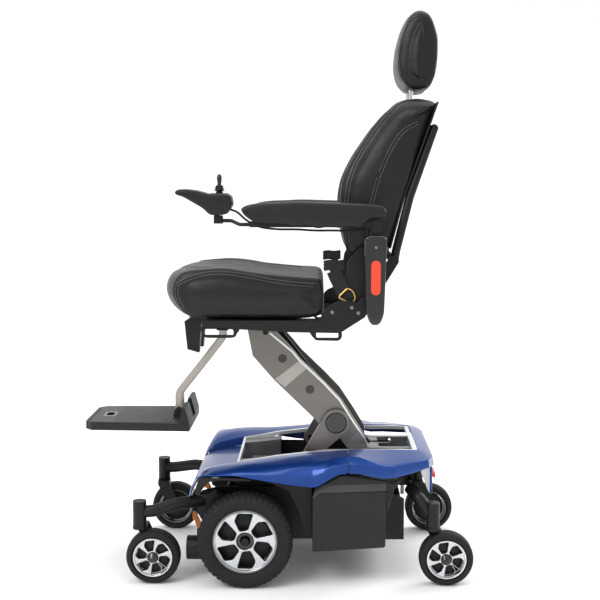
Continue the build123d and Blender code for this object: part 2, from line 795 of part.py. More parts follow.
# ==== backrest and headrest ====================================================
HEAD_POST_X = 385.0
HEAD_POST_Y = 50.0
with BuildPart() as backrest_frame:
    for side in (-1, 1):
        plane, depth = span(side, 221, 234)
        with BuildSketch(plane):
            with Locations(BACK_PIVOT):
                Circle(18)
            with Locations((329, 912)):
                Circle(14)
            make_hull()
            with Locations(BACK_PIVOT):
                Circle(LIFT_PIN_R + FIT, mode=Mode.SUBTRACT)
        extrude(amount=depth)
        tube_start = (330, side * 212, 905)
        with BuildLine() as tube_line:
            FilletPolyline(tube_start, (337, side * 205, 940), (374, side * 190, 1087),
                           (441, side * 180, 1280), radius=40)
        with BuildSketch(Plane(tube_start, z_dir=(7, -side * 7, 35))):
            Circle(12)
        sweep(path=tube_line.line)
        with BuildSketch(Plane.XY.offset(1240)):
            with Locations((HEAD_POST_X, side * HEAD_POST_Y)):
                Circle(8)
                Circle(6 + FIT, mode=Mode.SUBTRACT)
        extrude(amount=118)
    for cross_point in ((330, 912), (440, 1276)):
        with BuildSketch(Plane.XZ):
            with Locations(cross_point):
                Circle(11)
        extrude(amount=221 if cross_point[0] < 400 else 180, both=True)
    with BuildSketch(Plane.XZ):
        with BuildLine():
            Polyline((318.5, 945), (357, 1092), (446, 1347), (450, 1346), (361.5, 1090), (323, 943), close=True)
        make_face()
    extrude(amount=200, both=True)
save(backrest_frame, "backrest_frame")

with BuildPart() as backrest_cushion:
    with BuildSketch(Plane.XZ):
        with BuildLine():
            Polyline((347, 1358), (362, 1369), (446, 1355), (354, 1092), (314.5, 940), (300, 925),
                     (209, 925), (186, 982), (182.5, 1105), (250, 1215), close=True)
        make_face()
    extrude(amount=BACK_HALF, both=True)
    with BuildSketch(Plane.XY.offset(1235)):
        with Locations((HEAD_POST_X, -HEAD_POST_Y), (HEAD_POST_X, HEAD_POST_Y)):
            Circle(9)
    extrude(amount=150, mode=Mode.SUBTRACT)
save(backrest_cushion, "backrest_cushion")

with BuildPart() as headrest_posts:
    with BuildSketch(Plane.XY.offset(1243)):
        with Locations((HEAD_POST_X, -HEAD_POST_Y), (HEAD_POST_X, HEAD_POST_Y)):
            Circle(6)
    extrude(amount=210)
save(headrest_posts, "headrest_posts")

with BuildPart() as headrest_cushion:
    with BuildSketch(Plane.XZ):
        with BuildLine():
            Polyline((380, 1604), (407.5, 1616), (436, 1596), (458, 1514), (452, 1440), (435, 1390),
                     (374, 1390), (333, 1430), (329, 1468), (340, 1530), close=True)
        make_face()
    extrude(amount=128, both=True)
    with BuildSketch(Plane.XY.offset(1380)):
        with Locations((HEAD_POST_X, -HEAD_POST_Y), (HEAD_POST_X, HEAD_POST_Y)):
            Circle(6 + FIT)
    extrude(amount=74, mode=Mode.SUBTRACT)
save(headrest_cushion, "headrest_cushion")

with BuildPart() as belt_rings:
    for side in (-1, 1):
        plane, depth = span(side, 230, SEAT_Y[0])
        with BuildSketch(plane):
            with Locations((197, 780)):
                Rectangle(14, 70)
        extrude(amount=depth)
        plane, depth = span(side, 230, 234)
        with BuildSketch(plane):
            with Locations((197, 826)):
                RectangleRounded(40, 30, 9)
                RectangleRounded(30, 18, 6, mode=Mode.SUBTRACT)
        extrude(amount=depth)
save(belt_rings, "belt_rings")

with BuildPart() as lap_belt:
    for side in (-1, 1):
        plane, depth = span(side, 230, 234)
        with BuildSketch(plane):
            with BuildLine():
                Polyline((182, 842), (212, 842), (196, 880), (176, 910), (152, 908), (150, 880), close=True)
            make_face()
        extrude(amount=depth)
save(lap_belt, "lap_belt")


# ==== armrests =================================================================
def armrest_post(name, side):
    """Square post that slides in the seat socket, with a fork for the armrest pin."""
    centre_x = (POST_X[0] + POST_X[1]) / 2
    with BuildPart() as post:
        with BuildSketch(Plane.XY.offset(795)):
            with Locations((centre_x, side * POST_Y)):
                RectangleRounded(25, 24, 2)
        extrude(amount=202)
        for cheek in (POST_Y - 17, POST_Y + 13):
            plane, depth = span(side, cheek, cheek + 4)
            with BuildSketch(plane):
                with Locations((281, 1012)):
                    RectangleRounded(28, 24, 4)
                with Locations((277, 995)):
                    Rectangle(25, 12)
            extrude(amount=depth)
        with BuildSketch(Plane.XY.offset(989)):
            with Locations((centre_x, side * POST_Y)):
                Rectangle(25, 34)
        extrude(amount=9)
        plane, depth = span(side, POST_Y - 14, POST_Y + 14)
        with BuildSketch(plane):
            with Locations(ARMREST_PIN):
                Circle(4)
        extrude(amount=depth)
    save(post, name)


def armrest_rail(name, side):
    """Steel rail under the pad, hinged on the post."""
    plane, depth = span(side, POST_Y - 12, POST_Y + 12)
    with BuildPart() as rail:
        with BuildSketch(plane):
            with Locations((115, 1013)):
                Rectangle(360, 16)
            with Locations(ARMREST_PIN):
                Circle(4 + FIT, mode=Mode.SUBTRACT)
        extrude(amount=depth)
    save(rail, name)


def armrest_pad(name, side):
    """Moulded pad with a groove for the rail."""
    plane, depth = span(side, 240, 300)
    with BuildPart() as pad:
        with BuildSketch(plane):
            with BuildLine():
                Polyline((-86, 1057), (-30, 1071), (71, 1075), (285, 1066), (303, 1052), (298, 1031),
                         (262, 1030), (236, 1006), (139, 1003), (-51, 1019), (-80, 1044), close=True)
            make_face()
        extrude(amount=depth)
        plane, depth = span(side, POST_Y - 12.5, POST_Y + 12.5)
        with BuildSketch(plane):
            with Locations((115, 1010)):
                Rectangle(380, 22.6)
        extrude(amount=depth, mode=Mode.SUBTRACT)
        plane, depth = span(side, POST_Y - 19, POST_Y + 19)
        with BuildSketch(plane):
            with Locations((282, 1008)):
                Rectangle(62, 40)
        extrude(amount=depth, mode=Mode.SUBTRACT)
    save(pad, name)


for tag, side in SIDES:
    armrest_post(f"armrest_post_{tag}", side)
    armrest_rail(f"armrest_rail_{tag}", side)
    armrest_pad(f"armrest_pad_{tag}", side)

# ==== joystick controller ======================================================
CONTROLLER_Y = -250.0
STICK_X = -149.0
STICK_PIVOT_Z = 1080.0
BUTTONS = (("power_button", -235.0, 1099.4), ("horn_button", -210.0, 1095.2))

with BuildPart() as controller_housing:
    with BuildSketch(Plane.XZ.offset(-CONTROLLER_Y)):
        with BuildLine():
            Polyline((-270, 1099), (-262, 1104), (-185, 1091), (-120, 1091), (-112, 1066), (-129, 1036),
                     (-175, 1036), (-190, 1048), (-268, 1092), close=True)
        make_face()
    extrude(amount=35, both=True)
    with BuildSketch(Plane.XY.offset(1070)):
        with Locations((STICK_X, CONTROLLER_Y)):
            Circle(18)
    extrude(amount=40, mode=Mode.SUBTRACT)
    for _, button_x, surface_z in BUTTONS:
        with BuildSketch(Plane.XY.offset(surface_z - 6)):
            with Locations((button_x, CONTROLLER_Y)):
                Circle(6.5)
        extrude(amount=20, mode=Mode.SUBTRACT)
save(controller_housing, "controller_housing")

for name, button_x, surface_z in BUTTONS:
    with BuildPart() as button:
        with BuildSketch(Plane.XY.offset(surface_z - 4)):
            with Locations((button_x, CONTROLLER_Y)):
                Circle(6)
        extrude(amount=6)
        fillet(button.edges().group_by(Axis.Z)[-1], 1)
    save(button, name)

with BuildPart() as joystick_gimbal:
    with BuildSketch(Plane.XY.offset(STICK_PIVOT_Z - 3)):
        with Locations((STICK_X, CONTROLLER_Y)):
            Circle(13)
            Circle(8, mode=Mode.SUBTRACT)
    extrude(amount=6)
save(joystick_gimbal, "joystick_gimbal")

with BuildPart() as joystick_stick:
    with BuildSketch(Plane.XZ.offset(-CONTROLLER_Y)):
        with BuildLine():
            Polyline((STICK_X, 1074), (STICK_X + 5, 1074), (STICK_X + 5, 1096), (STICK_X + 11, 1096),
                     (STICK_X + 8, 1101), (STICK_X + 11, 1105), (STICK_X + 8, 1109),
                     (STICK_X + 11, 1114), (STICK_X + 5, 1119), (STICK_X + 4, 1122), (STICK_X + 5, 1136),
                     (STICK_X + 5, 1144), (STICK_X + 3, 1148), (STICK_X, 1148), close=True)
        make_face()
    revolve(axis=Axis((STICK_X, CONTROLLER_Y, 0), (0, 0, 1)))
save(joystick_stick, "joystick_stick")

with BuildPart() as controller_bracket:
    bracket_start = (-65, -270, 1012)
    with BuildLine() as bracket_line:
        FilletPolyline(bracket_start, (-92, -270, 1012), (-116, -258, 1022), (-150, -252, 1022), radius=12)
    with BuildSketch(Plane(bracket_start, z_dir=bracket_line.line % 0)):
        Circle(5)
    sweep(path=bracket_line.line)
    with BuildSketch(Plane.XY.offset(1014)):
        with Locations((-152, CONTROLLER_Y)):
            RectangleRounded(24, 26, 3)
    extrude(amount=22)
save(controller_bracket, "controller_bracket")

CABLE_R = 3.0
CABLE_ROUTE = ((-119, -243, 1052), (-101, -243, 1046), (-76, -245, 1022), (-40, -248, 1004),
               (10, -250, 998), (60, -250, 999), (112, -250, 995), (165, -250, 996),
               (212, -250, 994), (246, -250, 1000))
runs = [Vector(*end) - Vector(*start) for start, end in zip(CABLE_ROUTE, CABLE_ROUTE[1:])]
radii = []
for before, after in zip(runs, runs[1:]):
    half_turn = before.get_angle(after) / 2
    radii.append(0.45 * min(before.length, after.length) / tan(radians(half_turn)))
with BuildPart() as controller_cable:
    with BuildLine() as cable_line:
        FilletPolyline(*CABLE_ROUTE, radius=radii)
    with BuildSketch(Plane(CABLE_ROUTE[0], z_dir=cable_line.line % 0)):
        Circle(CABLE_R)
    sweep(path=cable_line.line)
save(controller_cable, "controller_cable")
print("cable radii", [round(radius) for radius in radii])
cable_length = sum(edge.length for edge in cable_line.edges())
print("cable length", round(cable_length, 1))
print("cable volume against section times length",
      round(controller_cable.part.volume / (pi * CABLE_R ** 2 * cable_length), 3))
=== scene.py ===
import json
import math

import bmesh
import bpy
from mathutils import Matrix, Vector


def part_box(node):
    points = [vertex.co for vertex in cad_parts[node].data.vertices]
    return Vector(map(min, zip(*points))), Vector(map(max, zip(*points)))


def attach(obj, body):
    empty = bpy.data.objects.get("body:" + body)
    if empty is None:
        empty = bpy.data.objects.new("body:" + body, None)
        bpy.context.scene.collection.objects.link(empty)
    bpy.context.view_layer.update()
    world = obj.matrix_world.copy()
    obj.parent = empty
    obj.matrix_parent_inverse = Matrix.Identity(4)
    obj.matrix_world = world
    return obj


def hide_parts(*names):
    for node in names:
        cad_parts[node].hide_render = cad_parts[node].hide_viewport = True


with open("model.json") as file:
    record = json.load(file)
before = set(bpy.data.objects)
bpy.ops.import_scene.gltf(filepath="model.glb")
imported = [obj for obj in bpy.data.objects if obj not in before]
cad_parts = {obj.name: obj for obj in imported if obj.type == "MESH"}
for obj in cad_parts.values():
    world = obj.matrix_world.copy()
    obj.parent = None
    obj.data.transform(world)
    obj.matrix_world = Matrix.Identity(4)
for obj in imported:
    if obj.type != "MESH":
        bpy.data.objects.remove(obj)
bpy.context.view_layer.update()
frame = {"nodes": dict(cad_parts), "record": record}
NODES = frame["nodes"]
MM = 0.001
SIDES = (("l", -1), ("r", 1))


# ---- camera, light and floor ---------------------------------------------------
def add_camera():
    """Camera at the occupant's left, a little above the armrests."""
    data = bpy.data.cameras.new("camera")
    data.sensor_width = 36
    data.lens = 64.3
    camera = bpy.data.objects.new("camera", data)
    bpy.context.scene.collection.objects.link(camera)
    yaw, pitch, roll = -0.0171, 0.1037, 0.0015
    forward = Vector((math.sin(yaw) * math.cos(pitch), math.cos(yaw) * math.cos(pitch), -math.sin(pitch)))
    turn = forward.to_track_quat("-Z", "Y").to_matrix().to_4x4()
    place = Matrix.Translation((0.1213, -3.1807, 1.1096))
    camera.matrix_world = place @ turn @ Matrix.Rotation(roll, 4, "Z")
    bpy.context.scene.camera = camera


def add_light(name, place, target, size, power):
    """Square soft box aimed at a point."""
    data = bpy.data.lights.new(name, "AREA")
    data.size = size
    data.energy = power
    light = bpy.data.objects.new(name, data)
    bpy.context.scene.collection.objects.link(light)
    aim = (Vector(target) - Vector(place)).to_track_quat("-Z", "Y").to_matrix().to_4x4()
    light.matrix_world = Matrix.Translation(place) @ aim


def add_stage():
    """Seamless pale sweep: floor, curved corner and wall."""
    far, near, corner = 5.0, -6.0, 2.0
    section = [(near, 0.0), (0.0, 0.0), (far - corner, 0.0)]
    for step in range(1, 13):
        angle = math.radians(90 * step / 12)
        section.append((far - corner + corner * math.sin(angle), corner - corner * math.cos(angle)))
    section.append((far, 8.0))
    mesh = bpy.data.meshes.new("sweep")
    verts = [(x, y, z) for y, z in section for x in (-9.0, 9.0)]
    faces = [(2 * i, 2 * i + 1, 2 * i + 3, 2 * i + 2) for i in range(len(section) - 1)]
    mesh.from_pydata(verts, [], faces)
    for face in mesh.polygons:
        face.use_smooth = True
    sweep = bpy.data.objects.new("sweep", mesh)
    bpy.context.scene.collection.objects.link(sweep)
    mesh.materials.append(surface("stage_white", (0.95, 0.95, 0.95), 0.9))
    world = bpy.data.worlds.new("studio")
    world.use_nodes = True
    world.node_tree.nodes["Background"].inputs["Color"].default_value = (1, 1, 1, 1)
    world.node_tree.nodes["Background"].inputs["Strength"].default_value = 0.85
    bpy.context.scene.world = world
    bpy.context.scene.view_settings.view_transform = "Standard"
    add_light("key", (-2.2, -2.6, 3.4), (0, 0, 0.8), 2.2, 95)
    add_light("top", (0.4, 0.3, 3.8), (0, 0, 0.6), 2.6, 60)
    add_light("rim", (2.8, 1.6, 2.4), (0, 0, 0.8), 1.6, 60)


# ---- materials -----------------------------------------------------------------
def surface(name, color, roughness, metallic=0.0, coat=0.0, grain=0.0, grain_size=0.002, mottle=0.0,
            mottle_size=0.05, rough_spread=0.0, leather=False, stretch=None):
    """Procedural material: colour mottling, roughness wear and a fine bump."""
    material = bpy.data.materials.new(name)
    material.use_nodes = True
    tree = material.node_tree
    shader = tree.nodes["Principled BSDF"]
    shader.inputs["Base Color"].default_value = (*color, 1)
    shader.inputs["Roughness"].default_value = roughness
    shader.inputs["Metallic"].default_value = metallic
    shader.inputs["Specular IOR Level"].default_value = 0.5 if metallic else 0.28
    shader.inputs["Coat Weight"].default_value = coat
    shader.inputs["Coat Roughness"].default_value = 0.06
    place = tree.nodes.new("ShaderNodeTexCoord").outputs["Object"]
    if stretch:
        mapping = tree.nodes.new("ShaderNodeMapping")
        mapping.inputs["Scale"].default_value = stretch
        tree.links.new(place, mapping.inputs["Vector"])
        place = mapping.outputs["Vector"]

    def noise(size, detail):
        """Factor of a noise texture with features of a given size."""
        node = tree.nodes.new("ShaderNodeTexNoise")
        node.inputs["Scale"].default_value = 1 / size
        node.inputs["Detail"].default_value = detail
        tree.links.new(place, node.inputs["Vector"])
        return node.outputs["Fac"]

    if mottle:
        mix = tree.nodes.new("ShaderNodeMix")
        mix.data_type = "RGBA"
        mix.inputs["A"].default_value = (*[c * (1 - mottle) for c in color], 1)
        mix.inputs["B"].default_value = (*[min(1, c * (1 + mottle) + 0.01 * mottle) for c in color], 1)
        tree.links.new(noise(mottle_size, 4), mix.inputs["Factor"])
        tree.links.new(mix.outputs["Result"], shader.inputs["Base Color"])
    if rough_spread:
        spread = tree.nodes.new("ShaderNodeMapRange")
        spread.inputs["To Min"].default_value = max(0.02, roughness - rough_spread)
        spread.inputs["To Max"].default_value = min(1, roughness + rough_spread)
        tree.links.new(noise(mottle_size / 3, 6), spread.inputs["Value"])
        tree.links.new(spread.outputs["Result"], shader.inputs["Roughness"])
    if grain:
        bump = tree.nodes.new("ShaderNodeBump")
        bump.inputs["Strength"].default_value = grain
        bump.inputs["Distance"].default_value = grain_size / 3
        if leather:
            cells = tree.nodes.new("ShaderNodeTexVoronoi")
            cells.feature = "DISTANCE_TO_EDGE"
            cells.inputs["Scale"].default_value = 1 / grain_size
            tree.links.new(place, cells.inputs["Vector"])
            tree.links.new(cells.outputs["Distance"], bump.inputs["Height"])
        else:
            tree.links.new(noise(grain_size, 3), bump.inputs["Height"])
        tree.links.new(bump.outputs["Normal"], shader.inputs["Normal"])
    return material


MATERIALS = {
    "tyre_rubber": surface("tyre_rubber", (0.009, 0.009, 0.0095), 0.72, grain=0.35, grain_size=0.0016,
                           mottle=0.25, rough_spread=0.12),
    "alloy_silver": surface("alloy_silver", (0.56, 0.57, 0.585), 0.28, metallic=1, grain=0.06,
                            grain_size=0.0006, rough_spread=0.08),
    "frame_black": surface("frame_black", (0.006, 0.006, 0.0065), 0.42, grain=0.25, grain_size=0.0012,
                           mottle=0.2, rough_spread=0.1),
    "lift_titanium": surface("lift_titanium", (0.175, 0.163, 0.15), 0.4, metallic=0.75, coat=0.25, grain=0.12,
                             grain_size=0.0008, mottle=0.08, rough_spread=0.06),
    "shroud_blue": surface("shroud_blue", (0.001, 0.042, 0.24), 0.34, metallic=0.6, coat=0.45, grain=0.03,
                           grain_size=0.0005, mottle=0.12, mottle_size=0.0012, rough_spread=0.04),
    "rim_silver": surface("rim_silver", (0.70, 0.71, 0.73), 0.32, metallic=0.6, coat=0.5, grain=0.04,
                          grain_size=0.0006, rough_spread=0.05),
    "cover_charcoal": surface("cover_charcoal", (0.012, 0.0125, 0.0135), 0.5, grain=0.3, grain_size=0.0011,
                              mottle=0.15, rough_spread=0.08),
    "gloss_black": surface("gloss_black", (0.006, 0.006, 0.007), 0.14, coat=0.8, grain=0.02,
                           grain_size=0.004, mottle=0.1, rough_spread=0.05),
    "rail_grey": surface("rail_grey", (0.22, 0.225, 0.23), 0.38, metallic=0.9, grain=0.1, grain_size=0.001,
                         rough_spread=0.08),
    "leather_black": surface("leather_black", (0.008, 0.008, 0.009), 0.38, grain=0.42, grain_size=0.0022,
                             mottle=0.3, rough_spread=0.09, leather=True),
    "pad_urethane": surface("pad_urethane", (0.011, 0.0095, 0.009), 0.46, grain=0.25, grain_size=0.0014,
                            mottle=0.2, rough_spread=0.1),
    "footrest_steel": surface("footrest_steel", (0.38, 0.355, 0.325), 0.34, metallic=0.85, grain=0.1,
                              grain_size=0.0008, mottle=0.06, rough_spread=0.08),
    "lens_red": surface("lens_red", (0.95, 0.05, 0.015), 0.2, coat=0.7, grain=0.3, grain_size=0.0025,
                        mottle=0.15, mottle_size=0.01),
    "brass": surface("brass", (0.65, 0.42, 0.14), 0.25, metallic=1, grain=0.08, grain_size=0.001,
                     rough_spread=0.1),
    "webbing": surface("webbing", (0.012, 0.012, 0.013), 0.7, grain=0.7, grain_size=0.0011, mottle=0.3,
                       stretch=(1, 1, 2.5)),
    "cable_rubber": surface("cable_rubber", (0.012, 0.012, 0.012), 0.55, grain=0.15, grain_size=0.001,
                            mottle=0.2, rough_spread=0.1),
    "lever_orange": surface("lever_orange", (0.7, 0.22, 0.05), 0.45, grain=0.1, grain_size=0.001,
                            mottle=0.12),
    "battery_grey": surface("battery_grey", (0.05, 0.05, 0.055), 0.6, grain=0.2, grain_size=0.0015,
                            mottle=0.15),
    "controller_plastic": surface("controller_plastic", (0.010, 0.010, 0.011), 0.42, grain=0.25,
                                  grain_size=0.0009, mottle=0.15, rough_spread=0.08),
}
THREAD = surface("thread_grey", (0.26, 0.26, 0.265), 0.7, grain=0.4, grain_size=0.0008, mottle=0.2)
LIP = surface("alloy_bright", (0.66, 0.67, 0.68), 0.2, metallic=1, grain=0.04, grain_size=0.0005,
              rough_spread=0.05)
MAT_GREY = surface("mat_grey", (0.09, 0.09, 0.095), 0.75, grain=0.5, grain_size=0.0016, mottle=0.2)


def dress_cad_nodes():
    """Every CAD node gets the detailed material of its record slot."""
    slots = {entry["node"]: entry["material_slot"] for entry in frame["record"]["subparts"]}
    for name, node in NODES.items():
        for holder in node.material_slots:
            holder.material = MATERIALS[slots[name]]


# ---- mesh helpers ----------------------------------------------------------------
def piece(name, verts, faces, body, slot, material=None, smooth=True):
    """A mesh object in the row frame that rides on a body."""
    mesh = bpy.data.meshes.new(name)
    mesh.from_pydata([tuple(v) for v in verts], [], faces)
    mesh.update()
    return finish_piece(name, mesh, body, slot, material, smooth)


def finish_piece(name, mesh, body, slot, material=None, smooth=True):
    """Shading, body and material (that of the slot if none is given) of a new mesh."""
    work = bmesh.new()
    work.from_mesh(mesh)
    bmesh.ops.recalc_face_normals(work, faces=work.faces)
    work.to_mesh(mesh)
    work.free()
    mesh.materials.clear()
    mesh.materials.append(material or MATERIALS[slot])
    for face in mesh.polygons:
        face.use_smooth = smooth
    obj = bpy.data.objects.new(name, mesh)
    bpy.context.scene.collection.objects.link(obj)
    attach(obj, body)
    return obj


def apply_modifiers(obj):
    """Replaces the mesh by its evaluated one."""
    graph = bpy.context.evaluated_depsgraph_get()
    mesh = bpy.data.meshes.new_from_object(obj.evaluated_get(graph))
    obj.modifiers.clear()
    obj.data = mesh


def soften(obj, width, segments=2, angle=35):
    """Rounds the hard edges of a piece."""
    bevel = obj.modifiers.new("edges", "BEVEL")
    bevel.width = width
    bevel.segments = segments
    bevel.limit_method = "ANGLE"
    bevel.angle_limit = math.radians(angle)
    weight = obj.modifiers.new("shade", "WEIGHTED_NORMAL")
    weight.keep_sharp = True
    return obj


def plate(name, outlines, y_from, y_to, bevel, body, slot, material=None):
    """Flat part in the side view: outer outline, then holes, bevelled all round."""
    curve = bpy.data.curves.new(name, "CURVE")
    curve.dimensions = "2D"
    curve.fill_mode = "BOTH"
    for outline in outlines:
        spline = curve.splines.new("POLY")
        spline.points.add(len(outline) - 1)
        for point, (x, z) in zip(spline.points, outline):
            point.co = (x, z, 0, 1)
        spline.use_cyclic_u = True
    curve.extrude = abs(y_to - y_from) / 2 - bevel
    curve.bevel_depth = bevel
    curve.bevel_resolution = 2
    curve.offset = -bevel
    holder = bpy.data.objects.new(name + "_curve", curve)
    bpy.context.scene.collection.objects.link(holder)
    mesh = bpy.data.meshes.new_from_object(holder)
    bpy.data.objects.remove(holder)
    mesh.transform(Matrix(((1, 0, 0, 0), (0, 0, 1, (y_from + y_to) / 2), (0, 1, 0, 0), (0, 0, 0, 1))))
    weld = bmesh.new()
    weld.from_mesh(mesh)
    bmesh.ops.remove_doubles(weld, verts=weld.verts, dist=1e-5)
    weld.to_mesh(mesh)
    weld.free()
    obj = finish_piece(name, mesh, body, slot, material, smooth=True)
    obj.modifiers.new("shade", "WEIGHTED_NORMAL")
    return obj


def circle(x, z, radius, count=48):
    """Points of a circle in the side view."""
    return [(x + radius * math.cos(2 * math.pi * i / count), z + radius * math.sin(2 * math.pi * i / count))
            for i in range(count)]


def rounded(points, radius, steps=5):
    """A polygon with its corners rounded by quadratic arcs."""
    result = []
    for i, point in enumerate(points):
        corner, before, after = Vector(point), Vector(points[i - 1]), Vector(points[(i + 1) % len(points)])
        reach_in = min(radius, (before - corner).length * 0.45)
        reach_out = min(radius, (after - corner).length * 0.45)
        start = corner + (before - corner).normalized() * reach_in
        end = corner + (after - corner).normalized() * reach_out
        for step in range(steps + 1):
            t = step / steps
            result.append(tuple(start * (1 - t) ** 2 + corner * 2 * t * (1 - t) + end * t ** 2))
    return result


def mm(points):
    """Millimetres to metres."""
    return [tuple(c * MM for c in point) for point in points]


def revolve(name, profile, centre, axis, count, body, slot, material=None, smooth=True):
    """Closed profile of (radius, along) turned about an axis through the centre."""
    turn = Vector((0, 0, 1)).rotation_difference(Vector(axis)).to_matrix()
    verts, faces = [], []
    size = len(profile)
    for i in range(count):
        angle = 2 * math.pi * i / count
        for radius, along in profile:
            local = Vector((radius * math.cos(angle), radius * math.sin(angle), along))
            verts.append(Vector(centre) + turn @ local)
    for i in range(count):
        for j in range(size):
            a, b = i * size + j, i * size + (j + 1) % size
            c, d = ((i + 1) % count) * size + (j + 1) % size, ((i + 1) % count) * size + j
            faces.append((a, b, c, d))
    return piece(name, verts, faces, body, slot, material, smooth)


# ---- wheels ----------------------------------------------------------------------
def box_centre(node):
    """Middle of a CAD node's box."""
    low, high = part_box(node)
    return (low + high) / 2


def wheel_window(radius, centre_angle):
    """Skewed five-cornered window between two spokes, as (x, z) about the hub."""
    corners = ((0.893, 14.5), (0.71, 27.3), (0.346, 30), (0.346, -15), (0.893, -16.5))
    points = []
    for share, angle in corners:
        turn = math.radians(centre_angle + angle)
        points.append((radius * share * math.cos(turn), radius * share * math.sin(turn)))
    return rounded(points, radius * 0.07, 4)


def rim_face(name, centre, side, radius, y_face, thickness, body, spin):
    """Bevelled six-spoke face of a rim."""
    outlines = [circle(centre.x, centre.z, radius * 0.955, 96)]
    for i in range(6):
        window = wheel_window(radius, spin + 60 * i)
        outlines.append([(centre.x + x, centre.z + z) for x, z in window])
    outlines.append(circle(centre.x, centre.z, radius * 0.27, 48))
    y_back = y_face - side * thickness
    return plate(name, outlines, y_back, y_face, 0.0016, body, "alloy_silver")


def ring_profile(r_in, r_out, low, high, chamfer):
    """Rectangular ring section with chamfered corners, as (radius, along)."""
    return [(r_in + chamfer, low), (r_out - chamfer, low), (r_out, low + chamfer), (r_out, high - chamfer),
            (r_out - chamfer, high), (r_in + chamfer, high), (r_in, high - chamfer), (r_in, low + chamfer)]


def tyre_profile(r_in, r_out, half, shoulder, tread_points):
    """Tyre section: flat bead, bulged side walls, rounded shoulders, tread band."""
    section = []
    for i in range(7):
        angle = math.pi / 2 * i / 6
        section.append((r_out - shoulder + shoulder * math.sin(angle),
                        -(half - shoulder) - shoulder * math.cos(angle)))
    for i in range(1, tread_points):
        section.append((r_out, -(half - shoulder) + 2 * (half - shoulder) * i / tread_points))
    section += [(radius, -along) for radius, along in reversed(section[:7])]
    wall = (r_in + r_out - shoulder) / 2
    section += [(wall, half * 0.985), (r_in + 0.004, half * 0.9), (r_in, half * 0.78)]
    section += [(r_in, -half * 0.78), (r_in + 0.004, -half * 0.9), (wall, -half * 0.985)]
    return section


def cut_tread(obj, centre, r_out, shoulder, pitch_count, depth, half):
    """Presses staggered tread blocks and a middle groove into a tyre."""
    for vertex in obj.data.vertices:
        dx, dz = vertex.co.x - centre.x, vertex.co.z - centre.z
        radius = math.hypot(dx, dz)
        along = vertex.co.y - centre.y
        if radius < r_out - shoulder * 0.75:
            continue
        turn = math.atan2(dz, dx) / (2 * math.pi) * pitch_count
        stagger = 0.5 if along > 0 else 0.0
        lean = abs(along) / half * 0.45
        groove = ((turn + stagger + lean) % 1.0) < 0.3
        if groove or abs(along) < half * 0.09:
            scale = (radius - depth) / radius
            vertex.co.x = centre.x + dx * scale
            vertex.co.z = centre.z + dz * scale


def build_drive_wheel(tag, side):
    """Block-tread tyre, spoked rim, lip, barrel, hub recess and bolt."""
    body = f"drive_wheel_{tag}"
    centre = box_centre(f"drive_tyre_{tag}")
    low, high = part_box(f"drive_tyre_{tag}")
    radius, half = (high.z - low.z) / 2, (high.y - low.y) / 2
    rim_radius = 0.091
    profile = tyre_profile(rim_radius, radius - 0.0004, half, 0.016, 12)
    tyre = revolve(f"tyre_{tag}", profile, centre, (0, 1, 0), 384, body, "tyre_rubber")
    cut_tread(tyre, centre, radius, 0.016, 48, 0.0034, half)
    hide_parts(f"drive_tyre_{tag}")
    face_y = centre.y + side * 0.0225
    face = rim_face(f"rim_face_{tag}", centre, side, rim_radius, face_y, 0.014, body, 90)
    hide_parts(f"drive_rim_{tag}")
    barrel = ring_profile(rim_radius - 0.006, rim_radius - 0.0004, -0.030, 0.027, 0.0012)
    revolve(f"rim_barrel_{tag}", barrel, centre, (0, 1, 0), 96, body, "alloy_silver", MATERIALS["rail_grey"])
    along = sorted((side * 0.024, side * 0.0285))
    lip = ring_profile(rim_radius - 0.0075, rim_radius - 0.0005, along[0], along[1], 0.001)
    revolve(f"rim_lip_{tag}", lip, centre, (0, 1, 0), 128, body, "alloy_silver", LIP)
    along = sorted((side * -0.004, side * -0.010))
    drum = ring_profile(0.012, rim_radius - 0.012, along[0], along[1], 0.001)
    revolve(f"rim_drum_{tag}", drum, centre, (0, 1, 0), 96, body, "frame_black", MATERIALS["cover_charcoal"])
    along = sorted((side * 0.006, side * 0.0195))
    cup = ring_profile(0.0105, 0.026, along[0], along[1], 0.003)
    revolve(f"hub_cup_{tag}", cup, centre, (0, 1, 0), 64, body, "frame_black", MATERIALS["gloss_black"])
    bolt_y = centre.y + side * 0.0195
    hexagon = circle(centre.x, centre.z, 0.0095, 6)
    plate(f"hub_bolt_{tag}", [hexagon], bolt_y, bolt_y + side * 0.007, 0.0012, body, "frame_black",
          MATERIALS["rail_grey"])


